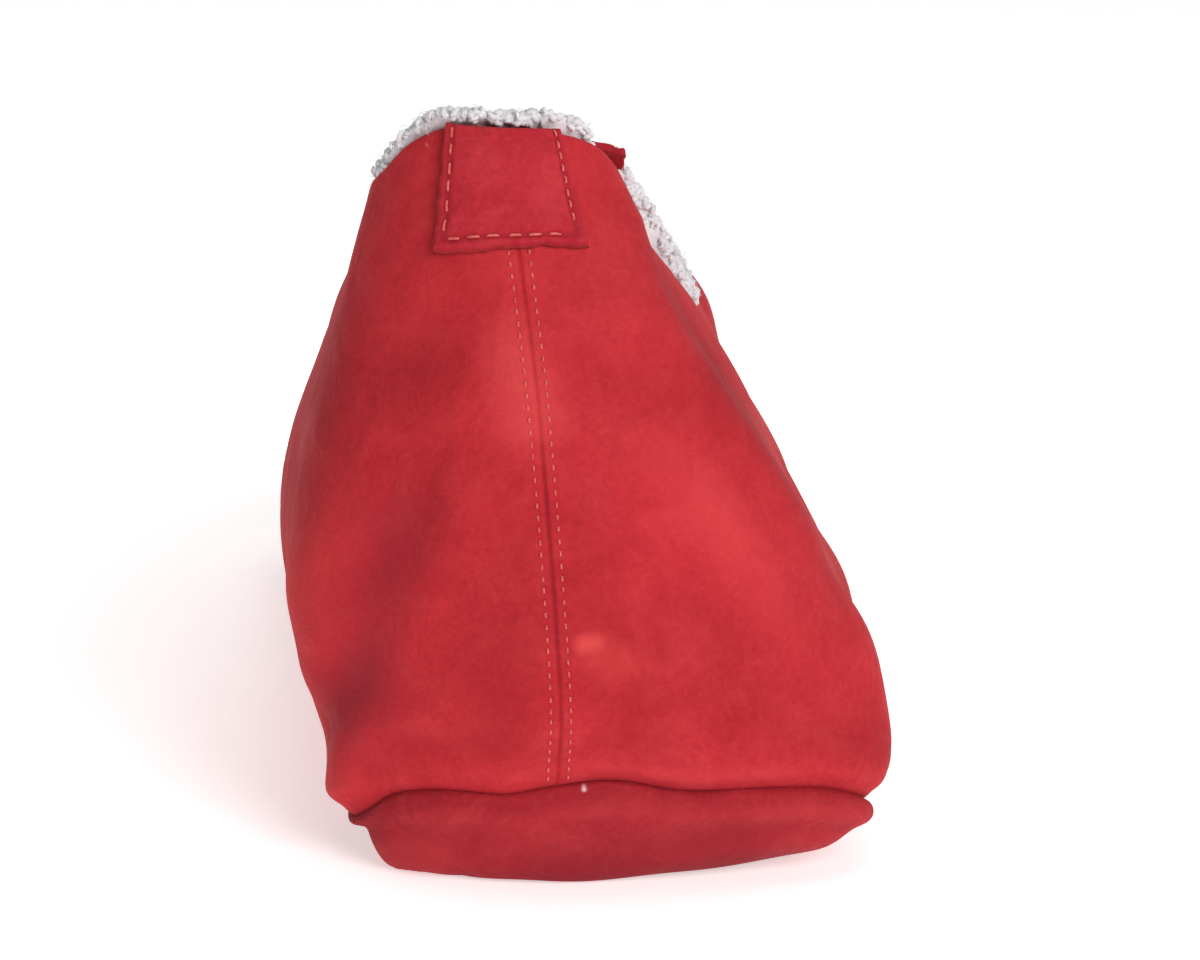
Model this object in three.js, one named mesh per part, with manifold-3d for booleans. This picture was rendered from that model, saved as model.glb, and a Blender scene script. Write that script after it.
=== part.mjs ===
// A soft babouche slipper for the left foot: leather upper and wrapped leather sole sewn together,
// a suede tab at the heel and one at the throat, fleece lining and fleece footbed.
// Frame: +Z up, +Y from heel to toe, +X to the inner (medial) side of the foot. Millimetres.

import * as THREE from "three";
import { mergeVertices } from "three/addons/utils/BufferGeometryUtils.js";
import Module from "manifold-3d";

// The last, outside the leather
const LENGTH = 260; // heel to toe
const BODY_WIDTH = 96; // across the upper's swell
const SOLE_WIDTH = 88; // across the sewn edge of the sole
const COLLAR_WIDTH = 74; // across the mouth
const BACK_HEIGHT = 111; // collar at the heel
const SIDE_HEIGHT = 76; // collar at its lowest
const THROAT_HEIGHT = 90; // front end of the mouth
const TOE_HEIGHT = 44; // over the toes
const SWELL_HEIGHT = 40; // where the heel is widest
const SEAM_HEIGHT = 17; // the sole's edge where it cups the heel

// Materials' thicknesses and the air between pieces
const LEATHER = 2.2;
const SOLE_LEATHER = 2.6;
const SUEDE = 1.5;
const FLEECE = 7;
const GAP = 0.3;

// Fleece
const FLEECE_RISE = 3; // fleece edge above the leather collar
const FOOTBED_TOP = 11.3; // footbed's face above the floor
const LOCKS = 34; // tufts of wool round the mouth
const LOCK_SIZE = [3.8, 2.7, 3.4]; // half sizes: along the edge, through the fleece, upward
const LOCK_SINK = 1.2; // a tuft's middle below the fleece edge
const LOCK_LEAN = 0.22; // alternate lean along the edge, radians
const LOCK_VARY = 0.1; // tufts' sizes differ by this share
const GOLDEN_ANGLE = 2.4;
const FLEECE_PASSES = 4; // rounds of evening before the fleece's depth is laid off

// Tabs
const TAB_RISE = 2; // both tabs stand above the collar
const HEEL_TAB = { centre: -14.6, top: 17.5, bottom: 23, lower: 94.5, front: -70 };
const THROAT_TAB = { centre: -1.2, top: 21, bottom: 24.5, back: -15.6, reach: 24 };
const THROAT_RISE = new THREE.Vector3(0, -0.8, 0.6); // how tab and fleece stand out of the throat

// Bends of the surface between its rows, as shares of the distance they bridge
const SEAM_FLARE = 0.5; // the upper leaves the seam outward
const MOUTH_PULL = 0.9; // and arrives at the mouth
const EDGE_LEAN = 0.75; // the sole's edge leaves the seam inward
const EDGE_FALL = 0.9; // and downward
const EDGE_TUCK = 1.7; // and arrives level at the ground
const SPINE = { share: 0.8, turn: 0.039, across: 2.4 }; // the sole's middle line: its share of the
// sole's length, how it turns toward the inner side along the foot, and where it crosses y = 0
const ARCH = 65; // half the length where the waist's middle may leave the floor

// Mesh of the smooth forms
const PER_RIB = 4; // columns from one rib to the next
const PER_SPAN = 3; // rows from one point of a rib to the next
const SOLE_ROWS = 6; // rows from the seam to the middle of the sole
const SAME = 1e-4; // points closer than this are one
const SLIVER = 0.01; // cut forms lose details smaller than this
const PAST = 5; // how far a cutting form runs past what it cuts

// Ribs round the last, each [across, along, up] as shares: across of half the sole, body or collar
// width, along of half the length, up of the seam height (seam, ground), the swell height (swell)
// or the row's own height (shoulder, top). The top points run along the mouth, then the vamp's ridge.
const HEEL = {
  place: "heel back", height: BACK_HEIGHT,
  seam: [-0.12, -0.945, 1.0], swell: [-0.12, -1.0, 0.85], shoulder: [-0.21, -0.945, 0.68],
  top: [-0.42, -0.8, 1.0], ground: [-0.14, -0.895, 0],
};
const LATERAL = [
  {
    place: "heel corner", height: BACK_HEIGHT,
    seam: [-0.74, -0.865, 0.66], swell: [-0.83, -0.86, 0.95], shoulder: [-0.78, -0.83, 0.66],
    top: [-0.88, -0.73, 0.95], ground: [-0.5, -0.82, 0],
  },
  {
    place: "heel side", height: BACK_HEIGHT,
    seam: [-0.77, -0.66, 0.42], swell: [-0.95, -0.645, 1.02], shoulder: [-0.89, -0.62, 0.6],
    top: [-0.9, -0.56, 0.835], ground: [-0.6, -0.63, 0],
  },
  {
    place: "quarter", height: SIDE_HEIGHT,
    seam: [-0.69, -0.4, 0.32], swell: [-0.95, -0.39, 0.92], shoulder: [-0.86, -0.36, 0.84],
    top: [-0.95, -0.33, 1.05], ground: [-0.52, -0.39, 0],
  },
  {
    place: "waist", height: SIDE_HEIGHT,
    seam: [-0.7, -0.12, 0.36], swell: [-0.94, -0.12, 0.82], shoulder: [-0.8, -0.1, 0.82],
    top: [-0.72, -0.1, 1.08], ground: [-0.52, -0.12, 0.06],
  },
  {
    place: "throat", height: THROAT_HEIGHT,
    seam: [-0.83, 0.13, 0.42], swell: [-0.93, 0.12, 0.76], shoulder: [-0.69, 0.11, 0.71],
    top: [-0.05, 0.03, 1.0], ground: [-0.64, 0.13, 0],
  },
  {
    place: "instep", height: THROAT_HEIGHT,
    seam: [-0.92, 0.37, 0.55], swell: [-0.91, 0.35, 0.7], shoulder: [-0.67, 0.34, 0.61],
    top: [-0.04, 0.27, 0.81], ground: [-0.74, 0.37, 0],
  },
  {
    place: "ball", height: TOE_HEIGHT,
    seam: [-0.94, 0.59, 0.65], swell: [-0.91, 0.58, 0.62], shoulder: [-0.65, 0.56, 1.0],
    top: [0.04, 0.53, 1.33], ground: [-0.76, 0.58, 0],
  },
  {
    place: "toe side", height: TOE_HEIGHT,
    seam: [-0.6, 0.8, 0.85], swell: [-0.59, 0.82, 0.6], shoulder: [-0.38, 0.78, 0.86],
    top: [0.14, 0.74, 1.05], ground: [-0.42, 0.71, 0.1],
  },
];
const TOE_TIP = {
  place: "toe tip", height: TOE_HEIGHT,
  seam: [0.26, 0.945, 0.95], swell: [0.24, 1.0, 0.62], shoulder: [0.22, 0.955, 0.8],
  top: [0.22, 0.86, 0.97], ground: [0.24, 0.83, 0.22],
};
const MEDIAL = [
  {
    place: "heel corner", height: BACK_HEIGHT,
    seam: [0.93, -0.855, 0.86], swell: [0.87, -0.86, 0.6], shoulder: [0.51, -0.84, 0.6],
    top: [0.1, -0.73, 0.94], ground: [0.46, -0.8, 0],
  },
  {
    place: "heel side", height: BACK_HEIGHT,
    seam: [0.76, -0.66, 0.42], swell: [0.99, -0.63, 0.46], shoulder: [0.6, -0.645, 0.54],
    top: [0.27, -0.59, 0.79], ground: [0.56, -0.63, 0],
  },
  {
    place: "quarter", height: SIDE_HEIGHT,
    seam: [0.62, -0.4, 0.32], swell: [0.99, -0.34, 0.55], shoulder: [0.64, -0.34, 0.74],
    top: [0.54, -0.35, 0.99], ground: [0.44, -0.39, 0],
  },
  {
    place: "waist", height: SIDE_HEIGHT,
    seam: [0.69, -0.12, 0.42], swell: [0.98, -0.03, 0.6], shoulder: [0.58, -0.06, 0.79],
    top: [0.45, -0.11, 1.05], ground: [0.5, -0.12, 0.1],
  },
  {
    place: "throat", height: THROAT_HEIGHT,
    seam: [0.84, 0.13, 0.42], swell: [0.97, 0.15, 0.6], shoulder: [0.55, 0.11, 0.69],
    top: [-0.05, 0.03, 1.0], ground: [0.64, 0.13, 0],
  },
  {
    place: "instep", height: THROAT_HEIGHT,
    seam: [0.96, 0.37, 0.55], swell: [0.99, 0.37, 0.62], shoulder: [0.63, 0.35, 0.6],
    top: [-0.04, 0.27, 0.81], ground: [0.78, 0.37, 0],
  },
  {
    place: "ball", height: TOE_HEIGHT,
    seam: [1.0, 0.6, 0.65], swell: [1.01, 0.6, 0.58], shoulder: [0.67, 0.58, 0.98],
    top: [0.04, 0.53, 1.33], ground: [0.8, 0.58, 0],
  },
  {
    place: "toe side", height: TOE_HEIGHT,
    seam: [0.93, 0.85, 0.85], swell: [0.9, 0.87, 0.6], shoulder: [0.58, 0.83, 0.86],
    top: [0.14, 0.74, 1.05], ground: [0.66, 0.75, 0.1],
  },
];
const RIBS = [HEEL, ...LATERAL, TOE_TIP, ...[...MEDIAL].reverse()];
const THROAT_RIB = 1 + LATERAL.findIndex((row) => row.place === "throat");
const HALF = RIBS.length / 2; // the toe tip's rib
const COLUMNS = RIBS.length * PER_RIB;

const points = (key, width, height) => RIBS.map((row) => new THREE.Vector3(
  row[key][0] * width / 2, row[key][1] * LENGTH / 2, row[key][2] * (height ?? row.height)));
const SEAM = points("seam", SOLE_WIDTH, SEAM_HEIGHT);
const SWELL = points("swell", BODY_WIDTH, SWELL_HEIGHT);
const SHOULDER = points("shoulder", BODY_WIDTH);
const TOP = points("top", COLLAR_WIDTH);
const GROUND = points("ground", SOLE_WIDTH, SEAM_HEIGHT);
const MOUTH = [...TOP.slice(-THROAT_RIB), ...TOP.slice(0, THROAT_RIB)];
const RIDGE = TOP.slice(THROAT_RIB, HALF + 1);

// Cubic from a to b that leaves along da and arrives along db.
function cubic(a, b, da, db, u) {
  const v = 1 - u;
  return a.clone().multiplyScalar(v * v * (1 + 2 * u))
    .addScaledVector(b, u * u * (3 - 2 * u))
    .addScaledVector(da, u * v * v)
    .addScaledVector(db, -u * u * v);
}

// Smooth curve through points at whole values of t, closed or open.
function through(list, t, closed) {
  const n = list.length;
  const at = (k) => list[closed ? ((k % n) + n) % n : Math.min(Math.max(k, 0), n - 1)];
  const i = closed ? Math.floor(t) : Math.min(Math.floor(t), n - 2);
  const slope = (k) => at(k + 1).clone().sub(at(k - 1))
    .multiplyScalar(closed || (k > 0 && k < n - 1) ? 0.5 : 1);
  return cubic(at(i), at(i + 1), slope(i), slope(i + 1), t - i);
}

const smooth = (u) => u * u * (3 - 2 * u);
const flatten = (p) => new THREE.Vector3(p.x, p.y, 0);
const sideOf = (t) => (t > HALF ? t - RIBS.length : t);

// Where the mouth or the ridge passes rib place t, and how steeply the ridge falls there.
function topAt(t) {
  const s = sideOf(t);
  return Math.abs(s) <= THROAT_RIB
    ? through(MOUTH, s + THROAT_RIB, true)
    : through(RIDGE, Math.abs(s) - THROAT_RIB, false);
}

function ridgeFall(t) {
  const step = 0.05;
  const s = Math.min(Math.max(Math.abs(sideOf(t)), THROAT_RIB), HALF) - THROAT_RIB;
  const near = Math.max(s - step, 0);
  const far = Math.min(s + step, HALF - THROAT_RIB);
  const run = through(RIDGE, far, false).sub(through(RIDGE, near, false));
  return run.z / run.y;
}

// From 0 well inside the mouth to 1 past its front, beginning so many ribs before it.
const crownAt = (t, before, span) => smooth(THREE.MathUtils.clamp(
  (Math.abs(sideOf(t)) - THROAT_RIB + before) / span, 0, 1));

// One column of the upper, from the seam over swell and shoulder to the mouth or the ridge.
function upperColumn(t) {
  const seam = through(SEAM, t, true);
  const swell = through(SWELL, t, true);
  const shoulder = through(SHOULDER, t, true);
  const top = topAt(t);
  const crown = crownAt(t, 1.5, 2.5);
  const rise = top.clone().sub(shoulder);
  const over = flatten(rise).normalize().multiplyScalar(rise.length());
  over.z = over.y * ridgeFall(t);
  const leave = swell.clone().sub(seam);
  const slopes = [
    leave.clone().addScaledVector(flatten(leave), SEAM_FLARE),
    shoulder.clone().sub(seam).multiplyScalar(0.5),
    top.clone().sub(swell).multiplyScalar(0.5),
    rise.multiplyScalar(MOUTH_PULL * (1 - crown)).addScaledVector(over, crown),
  ];
  const stops = [seam, swell, shoulder, top];
  const column = [];
  for (let k = 0; k <= 3 * PER_SPAN; k++) {
    const span = Math.min(Math.floor(k / PER_SPAN), 2);
    column.push(cubic(stops[span], stops[span + 1], slopes[span], slopes[span + 1],
      k / PER_SPAN - span));
  }
  return column;
}

// One column of the sole, from the seam round its edge to the ground and in to the middle line.
function soleColumn(t) {
  const seam = through(SEAM, t, true);
  const ground = through(GROUND, t, true);
  ground.z = Math.max(ground.z, 0);
  const middle = ground.clone().add(through(GROUND, RIBS.length - t, true)).multiplyScalar(0.5);
  middle.z = Math.abs(middle.y) < ARCH ? Math.max(middle.z, 0) : 0;
  middle.y *= SPINE.share;
  middle.x = SPINE.across + SPINE.turn * middle.y;
  const away = flatten(seam.clone().sub(ground));
  const leave = away.clone().multiplyScalar(EDGE_LEAN);
  leave.z = EDGE_FALL * (ground.z - seam.z);
  const arrive = away.clone().multiplyScalar(-EDGE_TUCK);
  const column = [];
  const rolled = SOLE_ROWS - 1;
  for (let k = 0; k <= rolled; k++) column.push(cubic(seam, ground, leave, arrive, k / rolled));
  column.push(middle);
  return column;
}

const columns = (make) => Array.from({ length: COLUMNS }, (_, i) => make(i / PER_RIB));
const UPPER = columns(upperColumn);
const SOLE = columns(soleColumn);
const LAST_ROW = 3 * PER_SPAN;
const MOUTH_COLUMNS = Array.from({ length: 2 * THROAT_RIB * PER_RIB + 1 },
  (_, k) => (k - THROAT_RIB * PER_RIB + COLUMNS) % COLUMNS);

const TIPS = [0, HALF * PER_RIB];
const next = (i) => (i + 1) % COLUMNS;
const mirror = (i) => (COLUMNS - i) % COLUMNS;
const onRidge = (i) => Math.abs(sideOf(i / PER_RIB)) >= THROAT_RIB;

// Outward direction at the seam: level, square to the seam's line.
const SEAM_OUT = UPPER.map((_, i) => {
  const along = flatten(UPPER[next(i)][0].clone().sub(UPPER[(i + COLUMNS - 1) % COLUMNS][0]));
  return new THREE.Vector3(-along.y, along.x, 0).normalize();
});

// Outward normals of a grid of columns; the two sides share them where their last rows meet.
function normals(grid, meets, turn) {
  const rows = grid[0].length;
  const key = (i, k) => (k === rows - 1 && meets(i) ? Math.min(i, mirror(i)) : i) * rows + k;
  const sum = Array.from({ length: COLUMNS * rows }, () => new THREE.Vector3());
  for (let i = 0; i < COLUMNS; i++) {
    for (let k = 0; k + 1 < rows; k++) {
      const a = grid[i][k], b = grid[next(i)][k], c = grid[next(i)][k + 1], d = grid[i][k + 1];
      const face = c.clone().sub(a).cross(b.clone().sub(d)).multiplyScalar(-turn);
      const corners = new Set([key(i, k), key(next(i), k), key(next(i), k + 1), key(i, k + 1)]);
      corners.forEach((at) => sum[at].add(face));
    }
  }
  return grid.map((column, i) => column.map((_, k) => (
    k === 0 ? SEAM_OUT[i] : sum[key(i, k)].clone().normalize())));
}

const UPPER_OUT = normals(UPPER, onRidge, -1);
const SOLE_OUT = normals(SOLE, () => true, 1);

// Normals evened out with their neighbours, so that the thick fleece doesn't fold where it bends.
function evened(out, passes) {
  let list = out;
  for (let pass = 0; pass < passes; pass++) {
    const before = list;
    list = before.map((column, i) => column.map((n, k) => {
      const sides = [before[next(i)][k], before[(i + COLUMNS - 1) % COLUMNS][k]];
      const over = k < column.length - 1 ? column[k + 1] : onRidge(i) && before[mirror(i)][k - 1];
      const near = [...sides, over, k > 0 && column[k - 1]].filter(Boolean);
      return near.reduce((sum, m) => sum.add(m), n.clone()).normalize();
    }));
  }
  return list.map((column, i) => column.map((n, k) => (
    k === column.length - 1 && onRidge(i) ? n.clone().add(list[mirror(i)][k]).normalize() : n)));
}

const FLEECE_OUT = evened(UPPER_OUT, FLEECE_PASSES);

const moved = (grid, out, distance, lift = 0) => grid.map((column, i) => column.map((p, k) => {
  const q = p.clone().addScaledVector(out[i][k], distance);
  if (k === 0) q.z += lift;
  return q;
}));

// The upper's surface moved along its normals and by a depth of fleece, its mouth raised.
function upperAt(distance, rise = 0, fleece = 0) {
  const grid = moved(moved(UPPER, UPPER_OUT, distance, GAP / 2), FLEECE_OUT, -fleece);
  if (!rise) return grid;
  return grid.map((column, i) => {
    const edge = column[LAST_ROW];
    const crown = crownAt(i / PER_RIB, 1, 1);
    const up = edge.clone().sub(column[LAST_ROW - 1]).normalize().multiplyScalar(1 - crown)
      .addScaledVector(THROAT_RISE, crown).setLength(MOUTH_COLUMNS.includes(i) ? rise : 0);
    return [...column, edge.clone().add(up)];
  });
}
const soleAt = (distance) => moved(SOLE, SOLE_OUT, distance, -GAP / 2);

// Whether a form's quad splits from its first corner: the shorter way, but beside the heel's and the
// toe's middle column from that column's last point, where the two sides meet.
function splits(form, i, k) {
  const j = next(i);
  if (k === form[i].length - 2 && TIPS.includes(i)) return false;
  if (k === form[i].length - 2 && TIPS.includes(j)) return true;
  return form[i][k].distanceTo(form[j][k + 1]) <= form[j][k].distanceTo(form[i][k + 1]);
}

// Collects triangles and closes them into one indexed geometry.
class Skin {
  constructor() { this.list = []; }

  face(a, b, c) {
    const flat = [[a, b], [b, c], [c, a]].some(([p, q]) => p.distanceTo(q) < SAME);
    if (!flat) this.list.push(a, b, c);
  }

  quad(a, b, c, d, first = a.distanceTo(c) <= b.distanceTo(d)) {
    this.face(a, b, first ? c : d);
    this.face(first ? a : b, c, d);
  }

  // Faces of a grid; outward when the columns run clockwise and its rows run upward. All layers of
  // one form split their quads as splits() says, so that they stay parallel.
  grid(columnsOf, form, inward = false) {
    columnsOf.forEach((column, i) => {
      const after = columnsOf[next(i)];
      for (let k = 0; k + 1 < column.length; k++) {
        const first = splits(form, i, Math.min(k, form[i].length - 2));
        const [a, b, c, d] = [column[k], after[k], after[k + 1], column[k + 1]];
        if (inward) this.quad(a, b, c, d, first); else this.quad(d, c, b, a, !first);
      }
    });
  }

  // A band between two rows of points, in order.
  band(row, other, closed) {
    const count = row.length - (closed ? 0 : 1);
    for (let i = 0; i < count; i++) {
      const j = (i + 1) % row.length;
      this.quad(row[i], row[j], other[j], other[i]);
    }
  }

  // A lid over a closed row of points, fanned from a middle point.
  lid(row, middle) {
    row.forEach((p, i) => this.face(p, row[(i + 1) % row.length], middle));
  }

  geometry() {
    const geometry = new THREE.BufferGeometry();
    geometry.setFromPoints(this.list);
    return mergeVertices(geometry, SAME);
  }
}

const wasm = await Module();
wasm.setup();

function solid(geometry) {
  const bare = new THREE.BufferGeometry();
  bare.setAttribute("position", geometry.getAttribute("position"));
  if (geometry.index) bare.setIndex(geometry.index);
  const merged = mergeVertices(bare, SAME);
  const mesh = new wasm.Mesh({
    numProp: 3,
    vertProperties: new Float32Array(merged.getAttribute("position").array),
    triVerts: new Uint32Array(merged.index.array),
  });
  return new wasm.Manifold(mesh);
}

function geometryOf(body) {
  const mesh = body.simplify(SLIVER).getMesh();
  const geometry = new THREE.BufferGeometry();
  const places = new Float32Array(mesh.vertProperties);
  geometry.setAttribute("position", new THREE.BufferAttribute(places, 3));
  geometry.setIndex([...mesh.triVerts]);
  return geometry;
}

const row = (grid, k) => grid.map((column) => column[k]);
const rim = (grid) => MOUTH_COLUMNS.map((i) => grid[i][grid[i].length - 1]);
const middleOf = (list) => list.reduce((sum, p) => sum.add(p), new THREE.Vector3())
  .divideScalar(list.length);

// The hollow layer between two moved copies of the upper.
function upperLayer(outer, inner, rise) {
  const skin = new Skin();
  const far = upperAt(outer, rise);
  const near = upperAt(inner, rise);
  skin.grid(far, UPPER);
  skin.grid(near, UPPER, true);
  skin.band(row(far, 0), row(near, 0), true);
  skin.band(rim(near), rim(far), false);
  return skin.geometry();
}

function soleLayer() {
  const skin = new Skin();
  const far = soleAt(0);
  const near = soleAt(-SOLE_LEATHER);
  skin.grid(far, SOLE, true);
  skin.grid(near, SOLE);
  skin.band(row(near, 0), row(far, 0), true);
  return skin.geometry();
}

// The filled room inside the leather; level across the fleece's edge, then dished.
function room(rise) {
  const skin = new Skin();
  const walls = upperAt(-LEATHER - GAP, rise);
  const floor = soleAt(-SOLE_LEATHER - GAP);
  const brink = rim(upperAt(-LEATHER - GAP, rise, FLEECE));
  skin.grid(walls, UPPER);
  skin.band(brink, rim(walls), false);
  const bottom = middleOf(brink.slice(1)).setZ(SIDE_HEIGHT / 2);
  skin.lid([...brink.slice(1)].reverse(), bottom);
  skin.band(row(walls, 0), row(floor, 0), true);
  skin.grid(floor, SOLE, true);
  return solid(skin.geometry());
}

// The filled space inside the fleece, open-topped past the rise, with straight walls below the seam.
function footSpace(rise) {
  const skin = new Skin();
  const walls = upperAt(-LEATHER - GAP, rise, FLEECE);
  const edge = rim(walls).slice(1);
  const seam = row(walls, 0);
  const base = seam.map((p) => new THREE.Vector3(p.x, p.y, -PAST));
  skin.grid(walls, UPPER);
  skin.lid([...edge].reverse(), middleOf(edge));
  skin.band(seam, base, true);
  skin.lid(base, middleOf(base));
  return solid(skin.geometry());
}

// Everything under a height.
const below = (height) => solid(new THREE.BoxGeometry(2 * BODY_WIDTH, 2 * LENGTH, BACK_HEIGHT)
  .translate(0, 0, height - BACK_HEIGHT / 2));

// A straight-sided trapezoid pushed along z, its wide end first.
function wedge(centre, from, to, widthFrom, widthTo) {
  const shape = new THREE.Shape([
    [centre - widthFrom / 2, from], [centre + widthFrom / 2, from],
    [centre + widthTo / 2, to], [centre - widthTo / 2, to],
  ].map(([x, y]) => new THREE.Vector2(x, y)));
  return new THREE.ExtrudeGeometry(shape, { depth: LENGTH / 2, bevelEnabled: false });
}

// Tufts stand on the fleece edge, spaced evenly along it and leaning in turn.
function locks() {
  const loop = (fleece) => new THREE.CatmullRomCurve3(
    rim(upperAt(-LEATHER - GAP, FLEECE_RISE, fleece)).slice(1), true);
  const outer = loop(0);
  const inner = loop(FLEECE);
  return Array.from({ length: LOCKS }, (_, n) => {
    const near = outer.getPoint(n / LOCKS);
    const far = inner.getPoint(n / LOCKS);
    const along = outer.getTangent(n / LOCKS);
    const across = far.clone().sub(near);
    across.addScaledVector(along, -across.dot(along)).normalize();
    const up = new THREE.Vector3().crossVectors(along, across);
    if (up.z < 0) up.negate();
    const size = 1 + LOCK_VARY * Math.sin(GOLDEN_ANGLE * n);
    const inward = new THREE.Vector3().crossVectors(up, along);
    const lock = new THREE.Matrix4().makeBasis(along, inward, up)
      .multiply(new THREE.Matrix4().makeRotationY(LOCK_LEAN * (n % 2 ? 1 : -1)))
      .multiply(new THREE.Matrix4().makeScale(...LOCK_SIZE.map((half) => half * size)));
    lock.setPosition(near.lerp(far, 0.5).addScaledVector(up, -LOCK_SINK));
    return solid(new THREE.SphereGeometry(1, 6, 4).rotateX(Math.PI / 2).applyMatrix4(lock));
  });
}

function liningBody() {
  const sleeve = room(FLEECE_RISE).subtract(footSpace(FLEECE_RISE + PAST));
  return wasm.Manifold.union([sleeve.subtract(below(FOOTBED_TOP + GAP)), ...locks()]);
}

const footbedBody = () => room(0).intersect(below(FOOTBED_TOP));

function heelTabBody() {
  const layer = solid(upperLayer(GAP + SUEDE, GAP, TAB_RISE));
  const height = BACK_HEIGHT + TAB_RISE + PAST;
  const flare = (height - HEEL_TAB.lower) / (BACK_HEIGHT + TAB_RISE - HEEL_TAB.lower);
  const top = HEEL_TAB.bottom + (HEEL_TAB.top - HEEL_TAB.bottom) * flare;
  const prism = wedge(HEEL_TAB.centre, HEEL_TAB.lower, height, HEEL_TAB.bottom, top)
    .rotateX(Math.PI / 2).translate(0, HEEL_TAB.front, 0);
  return layer.intersect(solid(prism));
}

function throatTabBody() {
  const layer = solid(upperLayer(GAP + SUEDE, GAP, TAB_RISE));
  const prism = wedge(THROAT_TAB.centre, THROAT_TAB.back, THROAT_TAB.reach, THROAT_TAB.top,
    THROAT_TAB.bottom).translate(0, 0, SWELL_HEIGHT);
  return layer.intersect(solid(prism));
}

const RED = 0xc8333a;
const root = new THREE.Group();
function add(name, geometry, color) {
  const mesh = new THREE.Mesh(geometry, new THREE.MeshStandardMaterial({ color, roughness: 0.9 }));
  mesh.name = name;
  root.add(mesh);
}

add("upper", upperLayer(0, -LEATHER, 0), RED);
add("sole", soleLayer(), 0xb92c35);
add("heel_tab", geometryOf(heelTabBody()), 0xb8283a);
add("throat_tab", geometryOf(throatTabBody()), 0xb8283a);
add("fleece_lining", geometryOf(liningBody()), 0xdedce0);
add("footbed", geometryOf(footbedBody()), 0xd6d3d6);

// The origin is under the middle of the whole slipper, on the floor.
const box = new THREE.Box3().setFromObject(root);
const centre = box.getCenter(new THREE.Vector3());
root.children.forEach((mesh) => mesh.geometry.translate(-centre.x, -centre.y, -box.min.z));

export default root;
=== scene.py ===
# A soft babouche slipper for the left foot, in red nubuck with a curly wool lining.
# Lengths are in millimetres until the meshes are made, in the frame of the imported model:
# +Z up, +Y from heel to toe, +X to the inner side of the foot.

import bmesh
import bpy
import numpy as np
from mathutils import Matrix, Vector


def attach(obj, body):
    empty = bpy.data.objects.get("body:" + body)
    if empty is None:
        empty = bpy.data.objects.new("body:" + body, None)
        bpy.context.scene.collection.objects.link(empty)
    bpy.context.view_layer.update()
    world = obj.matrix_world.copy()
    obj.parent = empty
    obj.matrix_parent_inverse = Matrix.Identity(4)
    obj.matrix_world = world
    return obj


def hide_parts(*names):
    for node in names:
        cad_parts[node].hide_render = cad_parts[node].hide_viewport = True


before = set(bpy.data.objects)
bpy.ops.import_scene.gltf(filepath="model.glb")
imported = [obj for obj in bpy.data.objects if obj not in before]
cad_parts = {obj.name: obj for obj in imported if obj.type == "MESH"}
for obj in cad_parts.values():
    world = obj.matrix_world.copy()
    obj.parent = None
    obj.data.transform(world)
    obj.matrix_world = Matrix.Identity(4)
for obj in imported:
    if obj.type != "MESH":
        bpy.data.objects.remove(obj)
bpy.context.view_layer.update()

# The picture: one slipper seen from behind and a little above, on a pale paper sweep. A large soft
# window stands behind the camera and a little to the right, a weak one to the left, a lamp above.

MM = 0.001
PICTURE_WIDTH = 1200
SENSOR = 36.0  # width in millimetres
EYE = np.array([-51.3, -768.8, 210.0])  # where the camera stands
YAW, PITCH = np.radians(5.0), np.radians(10.57)  # how its own picture plane is turned
FOCAL = 2541.0  # in picture widths of 1200
HEEL_IN_PICTURE = np.array([410.0, -104.0])  # the slipper's middle, right and up of that axis
ENLARGED = 1.76  # the slipper fills the frame

level_ahead = np.array([-np.sin(YAW), np.cos(YAW), 0])
right = np.array([np.cos(YAW), np.sin(YAW), 0])
ahead = level_ahead * np.cos(PITCH) - np.array([0, 0, np.sin(PITCH)])
up = level_ahead * np.sin(PITCH) + np.array([0, 0, np.cos(PITCH)])
aim = ahead * FOCAL + right * HEEL_IN_PICTURE[0] + up * HEEL_IN_PICTURE[1]
off_axis = FOCAL / np.linalg.norm(aim)
aim /= np.linalg.norm(aim)
across = right - aim * right.dot(aim)
across /= np.linalg.norm(across)
upward = np.cross(across, aim)

camera_data = bpy.data.cameras.new("camera")
camera_data.sensor_width = SENSOR
# Turned to the slipper, which lay off the first axis, the camera needs a longer lens.
camera_data.lens = SENSOR * FOCAL * ENLARGED / off_axis ** 1.5 / PICTURE_WIDTH
camera_data.clip_end = 20.0
camera = bpy.data.objects.new("camera", camera_data)
bpy.context.scene.collection.objects.link(camera)
camera.matrix_world = Matrix([
    [across[k], upward[k], -aim[k], EYE[k] * MM] for k in range(3)] + [[0, 0, 0, 1]])
bpy.context.scene.camera = camera
bpy.context.scene.view_settings.view_transform = "Standard"


def linear(code, alpha=1.0):
    """An sRGB hex colour as linear red, green, blue and alpha."""
    share = [int(code[k:k + 2], 16) / 255 for k in (1, 3, 5)]
    return [s / 12.92 if s <= 0.04045 else ((s + 0.055) / 1.055) ** 2.4 for s in share] + [alpha]


def node(tree, kind, settings=None, links=None):
    """Adds a node; settings fill its sockets or properties, links feed its sockets."""
    new = tree.nodes.new(kind)
    for key, value in (settings or {}).items():
        if isinstance(key, int) or key in new.inputs:
            new.inputs[key].default_value = value
        else:
            setattr(new, key, value)
    for key, source in (links or {}).items():
        tree.links.new(source, new.inputs[key])
    return new


def material(name):
    """A new material with an empty node tree and its output."""
    made = bpy.data.materials.new(name)
    made.use_nodes = True
    made.node_tree.nodes.clear()
    return made, made.node_tree, node(made.node_tree, "ShaderNodeOutputMaterial")


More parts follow.
